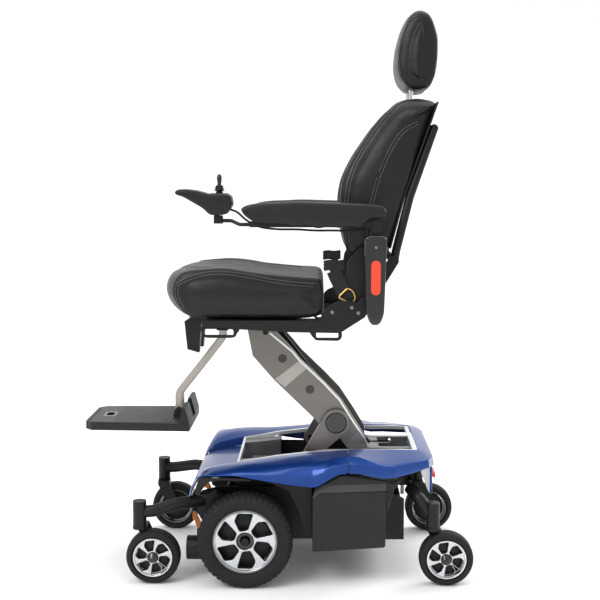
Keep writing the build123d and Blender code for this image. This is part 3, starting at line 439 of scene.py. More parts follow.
def build_caster_wheel(tag, body):
    """Smooth tyre, spoked face, lip and centre cap of one caster."""
    node = f"caster_wheel_{tag}"
    side = -1 if tag.endswith("l") else 1
    centre = box_centre(node)
    low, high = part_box(node)
    radius, half, rim_radius = (high.z - low.z) / 2, (high.y - low.y) / 2, 0.056
    profile = tyre_profile(rim_radius, radius - 0.0002, half, 0.014, 6)
    tyre = revolve(f"caster_tyre_{tag}", profile, centre, (0, 1, 0), 128, body, "tyre_rubber")
    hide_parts(node)
    face_y = centre.y + side * 0.0185
    rim_face(f"caster_face_{tag}", centre, side, rim_radius, face_y, 0.010, body, 100)
    along = sorted((side * 0.019, side * 0.0225))
    lip = ring_profile(rim_radius - 0.005, rim_radius - 0.0003, along[0], along[1], 0.0008)
    revolve(f"caster_lip_{tag}", lip, centre, (0, 1, 0), 96, body, "alloy_silver", LIP)
    barrel = ring_profile(rim_radius - 0.004, rim_radius - 0.0002, -0.022, 0.022, 0.001)
    revolve(f"caster_barrel_{tag}", barrel, centre, (0, 1, 0), 64, body, "alloy_silver",
            MATERIALS["rail_grey"])
    along = sorted((side * -0.002, side * 0.004))
    web = ring_profile(0.0065, rim_radius - 0.008, along[0], along[1], 0.001)
    revolve(f"caster_web_{tag}", web, centre, (0, 1, 0), 64, body, "frame_black", MATERIALS["cover_charcoal"])
    along = sorted((side * 0.010, side * 0.021))
    cap = [(0.0, along[0]), (0.0125, along[0]), (0.0145, (along[0] + along[1]) / 2), (0.0125, along[1]),
           (0.0, along[1])]
    revolve(f"caster_cap_{tag}", cap, centre, (0, 1, 0), 48, body, "frame_black", MATERIALS["gloss_black"])


def build_wheels():
    """Both drive wheels and all four casters."""
    for tag, side in SIDES:
        build_drive_wheel(tag, side)
        build_caster_wheel(f"f{tag}", f"front_caster_wheel_{tag}")
        build_caster_wheel(f"r{tag}", f"rear_caster_wheel_{tag}")


# ---- upholstery ------------------------------------------------------------------
def smooth_loop(points, count):
    """Closed Catmull-Rom curve through points, evenly resampled."""
    size = len(points)
    dense = []
    for i in range(size):
        p = [Vector(points[(i + k) % size]) for k in (-1, 0, 1, 2)]
        for step in range(16):
            t = step / 16
            dense.append(0.5 * (2 * p[1] + (p[2] - p[0]) * t + (2 * p[0] - 5 * p[1] + 4 * p[2] - p[3]) * t ** 2
                                + (3 * p[1] - p[0] - 3 * p[2] + p[3]) * t ** 3))
    lengths = [(dense[(i + 1) % len(dense)] - dense[i]).length for i in range(len(dense))]
    step, result, travelled, due = sum(lengths) / count, [], 0.0, 0.0
    for i, length in enumerate(lengths):
        while due < travelled + length and len(result) < count:
            result.append(dense[i].lerp(dense[(i + 1) % len(dense)], (due - travelled) / length))
            due += step
        travelled += length
    return result


def smooth_path(points, spacing):
    """Open Catmull-Rom curve through points, about evenly spaced."""
    padded = [points[0]] + list(points) + [points[-1]]
    result = []
    for i in range(len(points) - 1):
        p = [Vector(padded[i + k]) for k in range(4)]
        steps = max(2, int((p[2] - p[1]).length / spacing))
        for step in range(steps):
            t = step / steps
            result.append(0.5 * (2 * p[1] + (p[2] - p[0]) * t + (2 * p[0] - 5 * p[1] + 4 * p[2] - p[3]) * t ** 2
                                 + (3 * p[1] - p[0] - 3 * p[2] + p[3]) * t ** 3))
    result.append(Vector(points[-1]))
    return result


def cushion(name, outline, half_width, edge, bulge, shape, body, node, slot="leather_black"):
    """Crowned upholstered form: side-view outline swept across, rounded edges, bulging sides."""
    loop = smooth_loop(mm(outline), 200)
    size = len(loop)
    low = Vector((min(p.x for p in loop), min(p.y for p in loop)))
    high = Vector((max(p.x for p in loop), max(p.y for p in loop)))
    middle = (low + high) / 2
    area = sum(loop[i].x * loop[(i + 1) % size].y - loop[(i + 1) % size].x * loop[i].y for i in range(size))
    inward = []
    for i in range(size):
        along = loop[(i + 1) % size] - loop[i - 1]
        normal = Vector((-along.y, along.x)).normalized()
        inward.append(normal if area > 0 else -normal)
    rings = []
    for step in range(1, 13):
        share = step / 13
        rings.append((half_width - edge * 0.15 + bulge * (1 - share ** 2) - bulge, edge, share))
    for step in range(0, 9):
        angle = math.pi / 2 * step / 8
        rings.append((half_width - edge + edge * math.cos(angle) * 0.85 - bulge * math.cos(angle),
                      edge * (1 - math.sin(angle)), 1.0))
    body_steps = int((half_width - edge) / 0.008)
    across = [(-y, inset, share) for y, inset, share in rings]
    across += [(-(half_width - edge) + 2 * (half_width - edge) * i / (2 * body_steps), 0.0, 1.0)
               for i in range(1, 2 * body_steps)]
    across += [(y, inset, share) for y, inset, share in reversed(rings)]
    verts, faces = [], []
    tall = high.y - low.y > high.x - low.x
    for y, inset, share in across:
        for point, normal in zip(loop, inward):
            place = point + normal * inset
            if share < 1:
                spine = middle.copy()
                if tall:
                    reach = (high.y - low.y) * 0.34
                    spine.y += max(-reach, min(reach, place.y - middle.y))
                    spine.x = sum_x(loop, spine.y)
                else:
                    reach = (high.x - low.x) * 0.34
                    spine.x += max(-reach, min(reach, place.x - middle.x))
                place = spine.lerp(place, share)
            verts.append(Vector(shape(place.x, y, place.y)))
    for i in range(len(across) - 1):
        for j in range(size):
            k = (j + 1) % size
            faces.append((i * size + j, i * size + k, (i + 1) * size + k, (i + 1) * size + j))
    faces.append(tuple(range(size)))
    faces.append(tuple(reversed(range((len(across) - 1) * size, len(across) * size))))
    obj = piece(name, verts, faces, body, slot, MATERIALS[slot])
    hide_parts(node)
    return obj


def sum_x(loop, z):
    """Middle of the outline at a height."""
    near = [p.x for p in loop if abs(p.y - z) < 0.012]
    return (min(near) + max(near)) / 2


def wrinkle(obj, size, depth):
    """Soft unevenness of stretched hide."""
    texture = bpy.data.textures.new(obj.name + "_soft", "CLOUDS")
    texture.noise_scale = size
    change = obj.modifiers.new("soft", "DISPLACE")
    change.texture = texture
    change.texture_coords = "LOCAL"
    change.strength = depth
    change.mid_level = 0.5
    apply_modifiers(obj)
    return obj


def project(obj, points, direction, lift):
    """Points laid on a piece, looking along a direction, lifted off by a little."""
    result = []
    direction = Vector(direction).normalized()
    for point in points:
        start = Vector(point) - direction * 0.6
        hit, place, normal, _ = obj.ray_cast(start, direction)
        if hit:
            result.append((place + normal * lift, normal))
    return result


def tube(name, points, radius, body, slot, material=None):
    """Round bead along points."""
    curve = bpy.data.curves.new(name, "CURVE")
    curve.dimensions = "3D"
    spline = curve.splines.new("POLY")
    spline.points.add(len(points) - 1)
    for target, point in zip(spline.points, points):
        target.co = (*point, 1)
    curve.bevel_depth = radius
    curve.bevel_resolution = 2
    curve.use_fill_caps = True
    holder = bpy.data.objects.new(name + "_curve", curve)
    bpy.context.scene.collection.objects.link(holder)
    mesh = bpy.data.meshes.new_from_object(holder)
    bpy.data.objects.remove(holder)
    return finish_piece(name, mesh, body, slot, material)


def stitches(name, laid, shift, body, length=0.0042, gap=0.0026, radius=0.00055):
    """One row of thread dashes beside a seam, all in one mesh."""
    verts, faces = [], []
    travelled, due = 0.0, 0.0
    for (here, normal), (there, _) in zip(laid, laid[1:]):
        step = (there - here).length
        if step < 1e-7:
            continue
        along = (there - here).normalized()
        beside = normal.cross(along).normalized()
        while due <= travelled + step:
            middle = here + along * (due - travelled) + beside * shift
            base = len(verts)
            for end, scale in ((-0.5, 0.35), (-0.3, 1.0), (0.3, 1.0), (0.5, 0.35)):
                for k in range(6):
                    turn = math.pi * 2 * k / 6
                    off = beside * math.cos(turn) * radius * scale + normal * math.sin(turn) * radius * scale
                    verts.append(middle + along * length * end + off)
            for ring in range(3):
                for k in range(6):
                    a, b = base + ring * 6 + k, base + ring * 6 + (k + 1) % 6
                    faces.append((a, b, b + 6, a + 6))
            faces.append(tuple(range(base, base + 6)))
            faces.append(tuple(range(base + 18, base + 24)))
            due += length + gap
        travelled += step
    return piece(name, verts, faces, body, "leather_black", THREAD)


def seam(name, obj, points, direction, body, rows=(-0.0045, 0.0045)):
    """Sewn seam: a sunk bead with rows of thread at its sides."""
    laid = project(obj, smooth_path(points, 0.004), direction, 0.0002)
    if len(laid) < 3:
        return
    tube(name, [place for place, _ in laid], 0.0011, body, "leather_black", MATERIALS["cable_rubber"])
    for i, shift in enumerate(rows):
        stitches(f"{name}_thread_{i}", laid, shift, body)


def seat_shape(x, y, z):
    """Front edge bowed in plan, thigh troughs, raised side rolls."""
    out = abs(y) / 0.25
    if x < -0.05:
        x += 0.052 * out ** 3 * min(1, (-0.05 - x) / 0.18)
    if z > 0.82:
        weight = min(1, (z - 0.82) / 0.04)
        z -= 0.020 * weight * max(0.0, 1 - (y / 0.19) ** 2) * min(1, max(0, (x + 0.30) / 0.12))
        z -= 0.006 * weight * math.exp(-(y / 0.04) ** 2)
    return x, y, z


def back_shape(x, y, z):
    """Backrest narrows upward and its front is hollow between the side rolls."""
    narrow = 1 - 0.24 * max(0.0, (z - 1.10) / 0.27) ** 1.6
    depth = max(0.0, min(1.0, (0.33 + (z - 1.0) * 0.25 - x) / 0.10))
    x += 0.038 * depth * max(0.0, 1 - (y / 0.165) ** 2)
    z -= 0.014 * max(0.0, (z - 1.30) / 0.07) * (abs(y) / 0.2) ** 2
    return x, y * narrow, z


def head_shape(x, y, z):
    """Headrest with a dished front and rounded plan."""
    out = abs(y) / 0.128
    x += 0.026 * out ** 2.4 * max(0.0, (0.42 - x) / 0.09)
    x += 0.010 * max(0.0, 1 - out ** 2) * max(0.0, (0.37 - x) / 0.04)
    z -= 0.012 * out ** 3 * max(0.0, (z - 1.52) / 0.09)
    return x, y, z


def build_cushions():
    """Seat, back and headrest pads with their seams and sewn channels."""
    seat = cushion("seat_pad", SEAT_OUTLINE, 0.249, 0.030, 0.010, seat_shape, "seat", "seat_cushion")
    wrinkle(seat, 0.09, 0.004)
    back = cushion("back_pad", BACK_OUTLINE, 0.227, 0.034, 0.008, back_shape, "backrest",
                   "backrest_cushion")
    wrinkle(back, 0.08, 0.004)
    head = cushion("head_pad", HEAD_OUTLINE, 0.127, 0.034, 0.012, head_shape, "headrest",
                   "headrest_cushion")
    wrinkle(head, 0.05, 0.003)
    for tag, side in SIDES:
        plane = side * 0.3
        for label, pad, body, path in (
                ("seat_seam", seat, "seat", SEAT_SEAM), ("seat_front_seam", seat, "seat", SEAT_FRONT_SEAM),
                ("back_front_seam", back, "backrest", BACK_FRONT_SEAM),
                ("back_curve_seam", back, "backrest", BACK_CURVE_SEAM),
                ("head_seam", head, "headrest", HEAD_SEAM)):
            points = [(x * MM, plane, z * MM) for x, z in path]
            seam(f"{label}_{tag}", pad, points, (0, -side, 0), body)
    for tag, y in (("l", -0.16), ("r", 0.16)):
        points = [(-0.6, y, z * MM) for z in range(960, 1330, 40)]
        seam(f"back_channel_{tag}", back, points, (1, 0, 0), "backrest")
        points = [(x * MM, y * 1.15, 1.3) for x in range(-250, 110, 40)]
        seam(f"seat_channel_{tag}", seat, points, (0, 0, -1), "seat")
    across = [(-0.6, y * MM, 1.17) for y in range(-150, 151, 30)]
    seam("back_cross", back, across, (1, 0, 0), "backrest")


# Side-view outlines of the upholstery in millimetres, (X, Z), clockwise from the front.
SEAT_OUTLINE = ((-319, 818), (-311, 855), (-280, 880), (-218, 888), (-140, 888), (-40, 876), (60, 867),
                (118, 863),
                (134, 848), (137, 810), (133, 768), (100, 753), (0, 750), (-120, 750), (-240, 750), (-277,
                                                                                                     759),
                (-304, 783))
BACK_OUTLINE = ((183, 1105), (196, 1155), (228, 1215), (272, 1280), (315, 1335), (348, 1362), (390, 1368),
                (432, 1364), (447, 1350), (436, 1318), (402, 1225), (370, 1130), (346, 1050), (325, 975),
                (310, 938), (270, 922), (225, 920), (202, 935), (188, 985), (181, 1045))
HEAD_OUTLINE = ((330, 1468), (336, 1515), (352, 1560), (376, 1598), (404, 1613), (432, 1600), (450, 1560),
                (457, 1510), (453, 1450), (438, 1402), (418, 1391), (380, 1391), (348, 1412), (334, 1438))
SEAT_SEAM = ((-268, 846), (-225, 866), (-160, 878), (-80, 870), (0, 855), (80, 846), (115, 845))
SEAT_FRONT_SEAM = ((-268, 846), (-272, 820), (-262, 790), (-248, 762))
BACK_FRONT_SEAM = ((202, 960), (197, 1030), (200, 1100), (216, 1160), (250, 1225), (292, 1285), (335, 1335),
                   (365, 1352))
BACK_CURVE_SEAM = ((262, 950), (262, 1010), (270, 1080), (290, 1150), (318, 1215), (352, 1265), (395, 1290))
HEAD_SEAM = ((352, 1425), (345, 1470), (352, 1520), (374, 1570), (400, 1592))


# ---- base shell ------------------------------------------------------------------
def blend_line(points, spots, hardness):
    """Points of a polyline at even spots, from rounded (0) to straight (1)."""
    last = len(points) - 1
    result = []
    for i in range(spots + 1):
        place = i / spots * last
        k = min(last - 1, int(place))
        t = place - k
        p = [Vector(points[max(0, min(last, k + j))]) for j in (-1, 0, 1, 2)]
        soft = 0.5 * (2 * p[1] + (p[2] - p[0]) * t + (2 * p[0] - 5 * p[1] + 4 * p[2] - p[3]) * t ** 2
                      + (3 * p[1] - p[0] - 3 * p[2] + p[3]) * t ** 3)
        result.append(soft.lerp(p[1].lerp(p[2], t), hardness))
    return result


def shell(name, rows, thickness, body, slot, material=None, replaces=None):
    """Thin skin through rows of points, given a thickness and soft edges."""
    verts = [point for row in rows for point in row]
    wide = len(rows[0])
    faces = [(i * wide + j, i * wide + j + 1, (i + 1) * wide + j + 1, (i + 1) * wide + j)
             for i in range(len(rows) - 1) for j in range(wide - 1)]
    obj = piece(name, verts, faces, body, slot, material)
    solid = obj.modifiers.new("wall", "SOLIDIFY")
    solid.thickness = thickness
    solid.offset = 0
    soften(obj, thickness * 0.3, 2, 30)
    apply_modifiers(obj)
    if replaces:
        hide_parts(replaces)
    return obj


def front_wing_rows(side):
    """Fender-like wing of the front shell, from its nose to the split line."""
    stations = (
        (-250, (163, 214), (172, 214), (182, 213), (190, 212), (196, 210)),
        (-240, (163, 250), (178, 254), (196, 254), (208, 250), (214, 242)),
        (-226, (163, 276), (185, 286), (208, 288), (220, 284), (223, 276)),
        (-203, (163, 296), (192, 310), (232, 317), (264, 316), (281, 315)),
        (-160, (163, 312), (196, 326), (236, 330), (268, 324), (284, 317)),
        (-106, (163, 324), (198, 334), (236, 336), (270, 328), (285, 317)),
        (-60, (163, 333), (198, 340), (238, 338), (270, 324), (284, 309)),
        (-10, (163, 340), (198, 345), (240, 338), (270, 320), (284, 301)),
        (50, (163, 348), (200, 351), (244, 340), (270, 318), (284, 292)),
        (107, (163, 354), (202, 356), (248, 344), (272, 320), (284, 286)),
        (124, (163, 356), (204, 358), (250, 348), (274, 325), (284, 290)),
        (164, (163, 359), (206, 361), (252, 360), (276, 345), (284, 315)),
        (180, (163, 360), (207, 362), (254, 362), (278, 348), (284, 323)),
        (207, (163, 362), (208, 364), (256, 366), (279, 350), (284, 328)))
    rows = []
    for station in stations:
        x = station[0]
        hardness = min(1.0, max(0.0, (x - 110) / 40))
        section = blend_line([(y * side, z) for y, z in station[1:]], 16, hardness)
        rows.append([Vector((x, point.x, point.y)) for point in section])
    columns = []
    for j in range(17):
        soft = blend_line([row[j] for row in rows[:10]], 54, 0.0)
        hard = blend_line([row[j] for row in rows[9:]], 16, 1.0)
        columns.append(soft + hard[1:])
    return [[columns[j][i] * MM for j in range(17)] for i in range(len(columns[0]))]


def nose_rows():
    """Low front panel between the wings."""
    line = blend_line([(-250, 212), (-246, 236), (-236, 262), (-210, 280), (-172, 291), (-114, 298)], 30, 0.0)
    return [[Vector((p.x, y, p.y - 3 + 3 * (1 - (y / 163) ** 2))) * MM for y in range(-163, 164,
                                                                                      13)] for p in line]


def rear_shell_rows():
    """Rear shell in plan: left side, tail, right side, each from the opening to the skirt."""
    half = (
        ((208.5, 163, 363), (208.5, 256, 366), (208.5, 279, 350), (208.5, 284, 329), (208.5, 283, 327)),
        (((236, 163, 364), (236, 258, 365), (236, 280, 349), (236, 285, 330), (236, 284, 327))),
        ((293, 163, 364), (293, 276, 348), (293, 282, 346), (293, 285, 318), (293, 284, 314)),
        ((330, 163, 364), (330, 276, 349), (333, 281, 346), (333, 284, 319), (333, 283, 315)),
        ((380, 163, 363), (378, 244, 350), (384, 249, 347), (384, 252, 324), (384, 251, 320)),
        ((407, 160, 362), (424, 212, 351), (432, 216, 348), (434, 218, 330), (434, 217, 327)),
        ((409, 120, 361), (436, 150, 352), (449, 168, 346), (452, 172, 328), (452, 171, 322)))
    left = [[Vector((x, -y, z)) for x, y, z in row] for row in half]
    middle = [[Vector((409, 0, 361)), Vector((438, 0, 353)), Vector((449, 0, 346)), Vector((452, 0, 326)),
               Vector((452, 0, 318))]]
    right = [[Vector((x, y, z)) for x, y, z in row] for row in reversed(half)]
    return [[point * MM for point in blend_line(row, 12, 1.0)] for row in left + middle + right]


def build_shell():
    """Coloured shell: wings, nose, rear and tail, then the side covers."""
    blue = MATERIALS["shroud_blue"]
    for tag, side in SIDES:
        wing = shell(f"front_wing_{tag}", front_wing_rows(side), 0.0035, "base", "shroud_blue")
        if side < 0:
            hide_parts("front_shroud")
        wall = [(-226, 276), (-203, 296), (-160, 312), (-114, 322)]
        floor = [(-226, 266), (-203, 280), (-160, 291), (-114, 297)]
        rows = [[Vector((x, side * 163, z)) * MM for x, z in line] for line in (wall, floor)]
        shell(f"wing_wall_{tag}", rows, 0.003, "base", "shroud_blue")
    shell("front_nose", nose_rows(), 0.003, "base", "shroud_blue")
    rear = shell("rear_shell", rear_shell_rows(), 0.0035, "base", "shroud_blue", blue, "rear_shroud")

    tail = rounded(mm([(-195, 244), (-195, 322), (195, 322), (195, 244), (120, 238), (-120, 238)]), 0.012)
    verts = [(x, y, z) for x in (0.4405, 0.4475) for y, z in tail]
    count = len(tail)
    faces = [tuple(range(count)), tuple(reversed(range(count, 2 * count)))]
    faces += [(i, (i + 1) % count, count + (i + 1) % count, count + i) for i in range(count)]
    apply_modifiers(soften(piece("tail_panel", verts, faces, "base", "shroud_blue"), 0.002))
    for tag, side in SIDES:
        build_side_cover(tag, side)


def build_side_cover(tag, side):
    """Battery-box cover with its bevelled upper band and slope, fender lip with a painted highlight, and wheel
    arch.
    """
    face = rounded(mm([(107, 101), (310, 115), (313, 276), (128, 268), (107, 252)]), 0.006)
    front = plate(f"cover_face_{tag}", [face], side * 0.272, side * 0.281, 0.002, "base", "cover_charcoal")
    if side < 0:
        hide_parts("side_covers")
    block = rounded(mm([(110, 104), (308, 117), (311, 292), (352, 299), (190, 319), (112, 280)]), 0.004)
    plate(f"cover_box_{tag}", [block], side * 0.152, side * 0.2725, 0.004, "base", "cover_charcoal")
    low = [(107, 253), (128, 269), (313, 277)]
    high = [(112, 268), (133, 289), (312, 297)]
    rows = [[Vector((x, side * 281, z)) * MM for x, z in low], [Vector((x, side * 270, z)) * MM for x,
                                                                z in high]]
    shell(f"cover_band_{tag}", rows, 0.003, "base", "cover_charcoal", MATERIALS["battery_grey"])
    slope = [[Vector((313, side * 279, 219)), Vector((313, side * 279, 272)), Vector((313, side * 270, 297))],
             [Vector((318, side * 262, 219)), Vector((335, side * 262, 276)), Vector((361, side * 258, 308))]]
    rows = [[point * MM for point in row] for row in slope]
    shell(f"cover_slope_{tag}", rows, 0.004, "base", "cover_charcoal")
    fender = rounded(mm([(-203, 313.5), (-150, 312), (-82, 309), (-62, 305), (-64, 301), (-150, 303), (-182,
                                                                                                       298),
                         (-200, 276), (-206, 262), (-214, 264), (-221, 273), (-213, 296)]), 0.004)
    lip = plate(f"fender_{tag}", [fender], side * 0.228, side * 0.281, 0.002, "base", "gloss_black",
                MATERIALS["frame_black"])
    if side < 0:
        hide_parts("front_fenders")
    # Grey metal sliver along the top edge of the glossy fender: a painted highlight, not a part of its own
    highlight_outline = rounded(mm([(-172, 312.5), (-156, 313.5), (-152, 311), (-168, 310)]), 0.001)
    plate(f"fender_mark_{tag}", [highlight_outline], side * 0.2795, side * 0.2815, 0.0002, "base", "gloss_black",
          MATERIALS["rail_grey"])
    arch = rounded(mm([(-60, 301), (10, 296), (106, 283), (106, 120), (80, 140), (66, 200), (40, 252), (-20,
                                                                                                        280)]),
                   0.006)
    plate(f"wheel_arch_{tag}", [arch], side * 0.205, side * 0.213, 0.0015, "base", "cover_charcoal",
          MATERIALS["frame_black"])


# ---- lift, footplate, armrests and belt --------------------------------------------
def disc(name, x, z, radius, y_from, y_to, body, slot, material=None, bevel=0.001):
    """Round boss in the side view."""
    return plate(name, [circle(x * MM, z * MM, radius * MM, 64)], y_from * MM, y_to * MM, bevel, body, slot,
                 material)


def build_lift():
    """Edge strips, bands, bolts and rings on the arm and the link."""
    rear = [(-17, 695), (48, 641), (70, 614), (140, 548), (187, 498), (215, 453), (260, 385), (269, 366)]
    inner = [(x - 4.5, z - 4) for x, z in reversed(rear)]
    band = [(-4, 557), (25, 533), (94, 593), (70, 614)]
    foot = [(203, 363), (229, 340), (254, 385), (237, 399)]
    for tag, side in SIDES:
        plate(f"arm_strip_{tag}", [rounded(mm(rear + inner), 0.002)], side * 0.0995, side * 0.1012, 0.0004,
              "lift_arm", "lift_titanium", LIP)
        plate(f"arm_band_{tag}", [rounded(mm(band), 0.003)], side * 0.0995, side * 0.1008, 0.0005, "lift_arm",
              "lift_titanium", MATERIALS["footrest_steel"])
        plate(f"arm_foot_{tag}", [rounded(mm(foot), 0.003)], side * 0.0995, side * 0.1008, 0.0005, "lift_arm",
              "lift_titanium", MATERIALS["rail_grey"])
        disc(f"arm_foot_bolt_{tag}", 254, 346, 6, side * 100, side * 101.8, "lift_arm", "lift_titanium",
             MATERIALS["alloy_silver"], 0.0006)
        ring = [circle(0.17433, 0.43059, 0.0375, 72), circle(0.17433, 0.43059, 0.0335, 72)]
        plate(f"boss_ring_{tag}", ring, side * 0.1148, side * 0.1163, 0.0005, "lift_link", "lift_titanium")
        ring = [circle(0.17433, 0.43059, 0.0312, 72), circle(0.17433, 0.43059, 0.0275, 72)]
        plate(f"boss_groove_{tag}", ring, side * 0.1148, side * 0.1156, 0.0003, "lift_link", "lift_titanium",
              MATERIALS["frame_black"])
        disc(f"link_bolt_{tag}", 98, 338, 11, side * 114.5, side * 117.5, "lift_link", "lift_titanium",
             MATERIALS["rail_grey"])
        plate(f"link_bolt_hex_{tag}", [circle(0.098, 0.338, 0.0055, 6)], side * 0.117, side * 0.1195, 0.0005,
              "lift_link", "lift_titanium", MATERIALS["alloy_silver"])


def footplate_part(name, outline, holes, low, high, bevel, material):
    """Flat part lying on the footplate, outline in plan."""
    flat = plate(name, [rounded(mm(outline), 0.012)] + [rounded(mm(hole), 0.008) for hole in holes], low * MM,
                 high * MM, bevel, "footplate", "frame_black", material)
    swap = Matrix(((1, 0, 0, 0), (0, 0, 1, 0), (0, 1, 0, 0), (0, 0, 0, 1)))
    flat.data.transform(swap)
    flat.data.flip_normals()
    return flat


def build_footplate():
    """Ribbed mat and slotted strip on the footplate."""
    slot = [(-516, -22), (-494, -22), (-494, 22), (-516, 22)]
    mat = [(-546, -112), (-484, -118), (-318, -118), (-308, -100), (-308, 100), (-318, 118), (-484, 118),
           (-546, 112)]
    footplate_part("footplate_mat", mat, [[(-524, -34), (-486, -34), (-486, 34), (-524, 34)]], 429.6, 431.2,
                   0.0005,
                   MAT_GREY)
    strip = [(-524, -34), (-486, -34), (-486, 34), (-524, 34)]
    footplate_part("footplate_strip", strip, [slot], 429.4, 430.8, 0.0004, MATERIALS["rail_grey"])
    verts, faces = [], []
    for i in range(18):
        x = -476 + i * 9
        base = len(verts)
        verts += [Vector((x + dx, y, z)) * MM for y in (-106, 106)
                  for dx, z in ((-2.2, 430.8), (-1.2, 432.2), (1.2, 432.2), (2.2, 430.8))]
        faces += [(base + k, base + (k + 1) % 4, base + 4 + (k + 1) % 4, base + 4 + k) for k in range(4)]
        faces += [(base, base + 3, base + 2, base + 1), (base + 4, base + 5, base + 6, base + 7)]
    piece("footplate_ribs", verts, faces, "footplate", "frame_black", MAT_GREY, smooth=False)


def build_armrests():
    """Moulded arm pads with a crowned top and finger waves below."""
    outline = ((-86, 1057), (-66, 1066), (-30, 1071), (20, 1073), (71, 1075), (150, 1073), (230, 1070),
               (285, 1066),
               (300, 1058), (304, 1046), (298, 1033), (280, 1031), (262, 1030), (248, 1018), (236, 1007),
               (205, 1008), (180, 1004), (150, 1007), (120, 1003), (90, 1010), (60, 1007), (25, 1014), (-15,
                                                                                                        1014),
               (-51, 1020), (-72, 1032), (-84, 1045))
    for tag, side in SIDES:
        def place(x, y, z, side=side):
            """Moves the pad to its side and crowns its top."""
            crown = 0.004 * (y / 0.03) ** 2 if z > 1.05 else 0.0
            return x, y + side * 0.27, z - crown
        pad = cushion(f"arm_pad_{tag}", outline, 0.030, 0.011, 0.002, place, f"armrest_{tag}",
                      f"armrest_pad_{tag}",
                      "pad_urethane")
        for i, x in enumerate((30, 110, 190)):
            arc = [(x * MM + 0.030 * math.cos(math.radians(a)), side * 0.34,
                    1.012 + 0.020 * math.sin(math.radians(a)))
                   for a in range(20, 161, 20)]
            laid = project(pad, arc, (0, -side, 0), -0.0003)
            if len(laid) > 2:
                tube(f"pad_arc_{tag}_{i}", [spot for spot, _ in laid], 0.0009, f"armrest_{tag}",
                     "pad_urethane",
                     MATERIALS["frame_black"])


def strap(name, path, width, thickness, side, body):
    """Flat webbing along a path of (X, Z, y), lying against the side of the seat."""
    line = [Vector(p) for p in smooth_path([(x * MM, z * MM, y * MM) for x, z, y in path], 0.004)]
    rows = []
    for i, point in enumerate(line):
        along = line[min(i + 1, len(line) - 1)] - line[max(i - 1, 0)]
        across = Vector((-along.y, along.x)).normalized() * width / 2
        rows.append([Vector((point.x + across.x * k, side * point.z, point.y + across.y * k))
                     for k in (-1, -0.92, -0.5, 0, 0.5, 0.92, 1)])
    return shell(name, rows, thickness, body, "webbing")


def build_belt():
    """Folded stub of the lap belt at each side."""
    for tag, side in SIDES:
        lower = strap(f"belt_run_{tag}", ((191, 823, 232.4), (181, 846, 232.8), (170, 868, 233.2), (164,
                                                                                                    884, 233.0)),
                      0.040, 0.0016, side, "seat")
        if side < 0:
            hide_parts("lap_belt")
        for i, (z, lift) in enumerate(((888, 1.2), (897, 0.4), (906, 1.6))):
            path = ((136, z, 230.8), (152, z + 3, 231 + lift), (172, z + 1, 231 + lift), (192, z + 4, 230.9))
            strap(f"belt_fold_{tag}_{i}", path, 0.011, 0.0022, side, "seat")


# ---- brackets, socket covers and inner deck ----------------------------------------
def build_brackets():
    """Side brackets of the seat and back, socket covers, belt rings, tie-down ears."""
    black = MATERIALS["frame_black"]
    back = [(203, 908), (229, 944), (250, 952), (262, 930), (266, 830), (262, 776), (232, 772), (192, 800)]
    low = [(122, 747), (146, 786), (176, 800), (222, 802), (246, 790), (232, 752), (170, 744)]
    ear_front = [(-206, 728), (-201, 706), (-190, 697), (-118, 697), (-106, 706), (-94, 722)]
    ear_rear = [(96, 716), (106, 700), (118, 691), (178, 690), (187, 698), (188, 715)]
    socket = [(245, 984), (306, 984), (303, 860), (300, 768), (288, 741), (264, 741), (252, 768), (248, 860)]
    box = [(255, 982), (300, 982), (297, 764), (256, 764)]
    loop = [(203, 837), (218, 828), (225, 806), (213, 793), (176, 811)]
    for tag, side in SIDES:
        plate(f"back_bracket_{tag}", [rounded(mm(back), 0.012)], side * 0.217, side * 0.2275, 0.002,
              "backrest",
              "frame_black")
        plate(f"seat_bracket_{tag}", [rounded(mm(low), 0.010)], side * 0.2362, side * 0.2435, 0.002, "seat",
              "frame_black")
        front_hole = rounded(mm([(-196, 722), (-196, 703), (-113, 703), (-113, 722)]), 0.010)
        rear_hole = rounded(mm([(108, 713), (112, 697), (181, 696), (182, 713)]), 0.009)
        plate(f"tie_ear_front_{tag}", [rounded(mm(ear_front), 0.006), front_hole], side * 0.2375,
              side * 0.2425,
              0.0015, "seat", "frame_black")
        plate(f"tie_ear_rear_{tag}", [rounded(mm(ear_rear), 0.006), rear_hole], side * 0.2375, side * 0.2425,
              0.0015, "seat", "frame_black")
        cover = plate(f"socket_cover_{tag}", [rounded(mm(socket), 0.018)], side * 0.283, side * 0.3005, 0.006,
                      "seat", "gloss_black")
        if side < 0:
            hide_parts("armrest_sockets")
        plate(f"socket_box_{tag}", [rounded(mm(box), 0.006)], side * 0.2505, side * 0.2845, 0.002, "seat",
              "gloss_black")
        disc(f"socket_screw_{tag}", 276.5, 952, 4, side * 300, side * 301.2, "seat", "gloss_black",
             MATERIALS["rail_grey"], 0.0004)
        ring = [Vector((x, side * 0.234, z)) for x, z in rounded(mm(loop), 0.008)]
        wire = tube(f"belt_ring_{tag}", ring + ring[:1], 0.0026, "seat", "brass")
        if side < 0:
            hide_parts("belt_rings")
        for i, (x, z) in enumerate(((214, 783), (160, 770), (232, 768))):
            disc(f"bracket_bolt_{tag}_{i}", x, z, 5, side * 243, side * 245, "seat", "frame_black",
                 MATERIALS["rail_grey"], 0.0006)


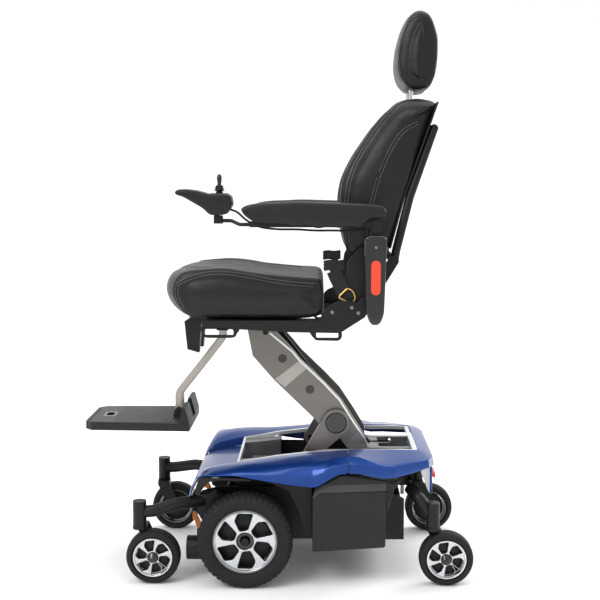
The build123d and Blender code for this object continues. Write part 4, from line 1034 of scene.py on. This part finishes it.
def build_deck():
    """Grey trays beside the arm at the front of the opening and the dark floor below the lift."""
    grey, black = MATERIALS["rail_grey"], MATERIALS["frame_black"]
    middle = [[Vector((x, y, 264)) * MM for y in (-103, 103)] for x in (-110, 6)]
    shell("tray_floor", middle, 0.003, "base", "cover_charcoal", grey)
    floor = [[Vector((x, y, 258)) * MM for y in (-149, 149)] for x in (-110, 400)]
    shell("deck", floor, 0.003, "base", "cover_charcoal", black)
    for tag, side in SIDES:
        tray = [[Vector((x, side * y, z)) * MM for y in (149, 106, 104, 104)]
                for x, z in ((-110, 318), (-60, 322), (6, 330))]
        for row in tray:
            row[3] = Vector((row[3].x, row[3].y, 0.264))
        shell(f"tray_{tag}", tray, 0.003, "base", "cover_charcoal", grey)
        wall = [[Vector((6, side * y, z)) * MM for y in (104, 149)] for z in (329, 260)]
        shell(f"tray_wall_{tag}", wall, 0.003, "base", "cover_charcoal", black)
        skirt = [[Vector((x, side * 151, z)) * MM for x in (-110, 400)] for z in (318, 258)]
        shell(f"deck_side_{tag}", skirt, 0.003, "base", "cover_charcoal", black)


# ---- controller ------------------------------------------------------------------
def build_controller():
    """Rounded housing, bellows boot and knob of the stick."""
    outline = [(-268, 1098), (-262, 1106), (-240, 1108), (-208, 1104), (-172, 1094), (-165, 1095.5), (-130,
                                                                                                      1095.5),
               (-116, 1091), (-111, 1066), (-127, 1040), (-150, 1036.5), (-174, 1038), (-192, 1056), (-244,
                                                                                                      1086),
               (-264, 1092)]
    housing = plate("controller_shell", [rounded(mm(outline), 0.009)], -0.2155, -0.2845, 0.007,
                    "armrest_l", "controller_plastic")
    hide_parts("controller_housing")
    plate("controller_seam", [rounded(mm([(-262, 1097), (-114, 1073), (-114, 1071.8), (-262, 1095.6)]),
                                      0.0003)],
          -0.2848, -0.2854, 0.0001, "armrest_l", "controller_plastic", MATERIALS["frame_black"])
    collar = [(0.0225, 0.0), (0.0250, 0.0), (0.0243, 0.0020), (0.0225, 0.0020)]
    revolve("stick_collar", collar, (-0.149, -0.25, 1.0945), (0, 0, 1), 48, "armrest_l", "controller_plastic")
    boot = [(0.004, 0.0), (0.0135, 0.0005), (0.0150, 0.0022), (0.0100, 0.0045), (0.0135, 0.0070), (0.0130,
                                                                                                   0.0088),
            (0.0085, 0.0108), (0.0112, 0.0130), (0.0105, 0.0146), (0.0065, 0.0170), (0.004, 0.0172)]
    revolve("stick_boot", boot, (-0.149, -0.25, 1.1015), (0, 0, 1), 48, "joystick_stick",
            "controller_plastic",
            MATERIALS["cable_rubber"])
    knob = [(0.0005, 0.0), (0.0048, 0.001), (0.0056, 0.008), (0.0068, 0.017), (0.0070, 0.023), (0.0058,
                                                                                                0.0285),
            (0.0030, 0.0315), (0.0005, 0.0322)]
    revolve("stick_knob", knob, (-0.149, -0.25, 1.1165), (0, 0, 1), 40, "joystick_stick",
            "controller_plastic",
            MATERIALS["gloss_black"])


add_camera()
add_stage()
dress_cad_nodes()
build_wheels()
build_cushions()
build_shell()
build_lift()
build_footplate()
build_armrests()
build_belt()
build_brackets()
build_deck()
build_controller()
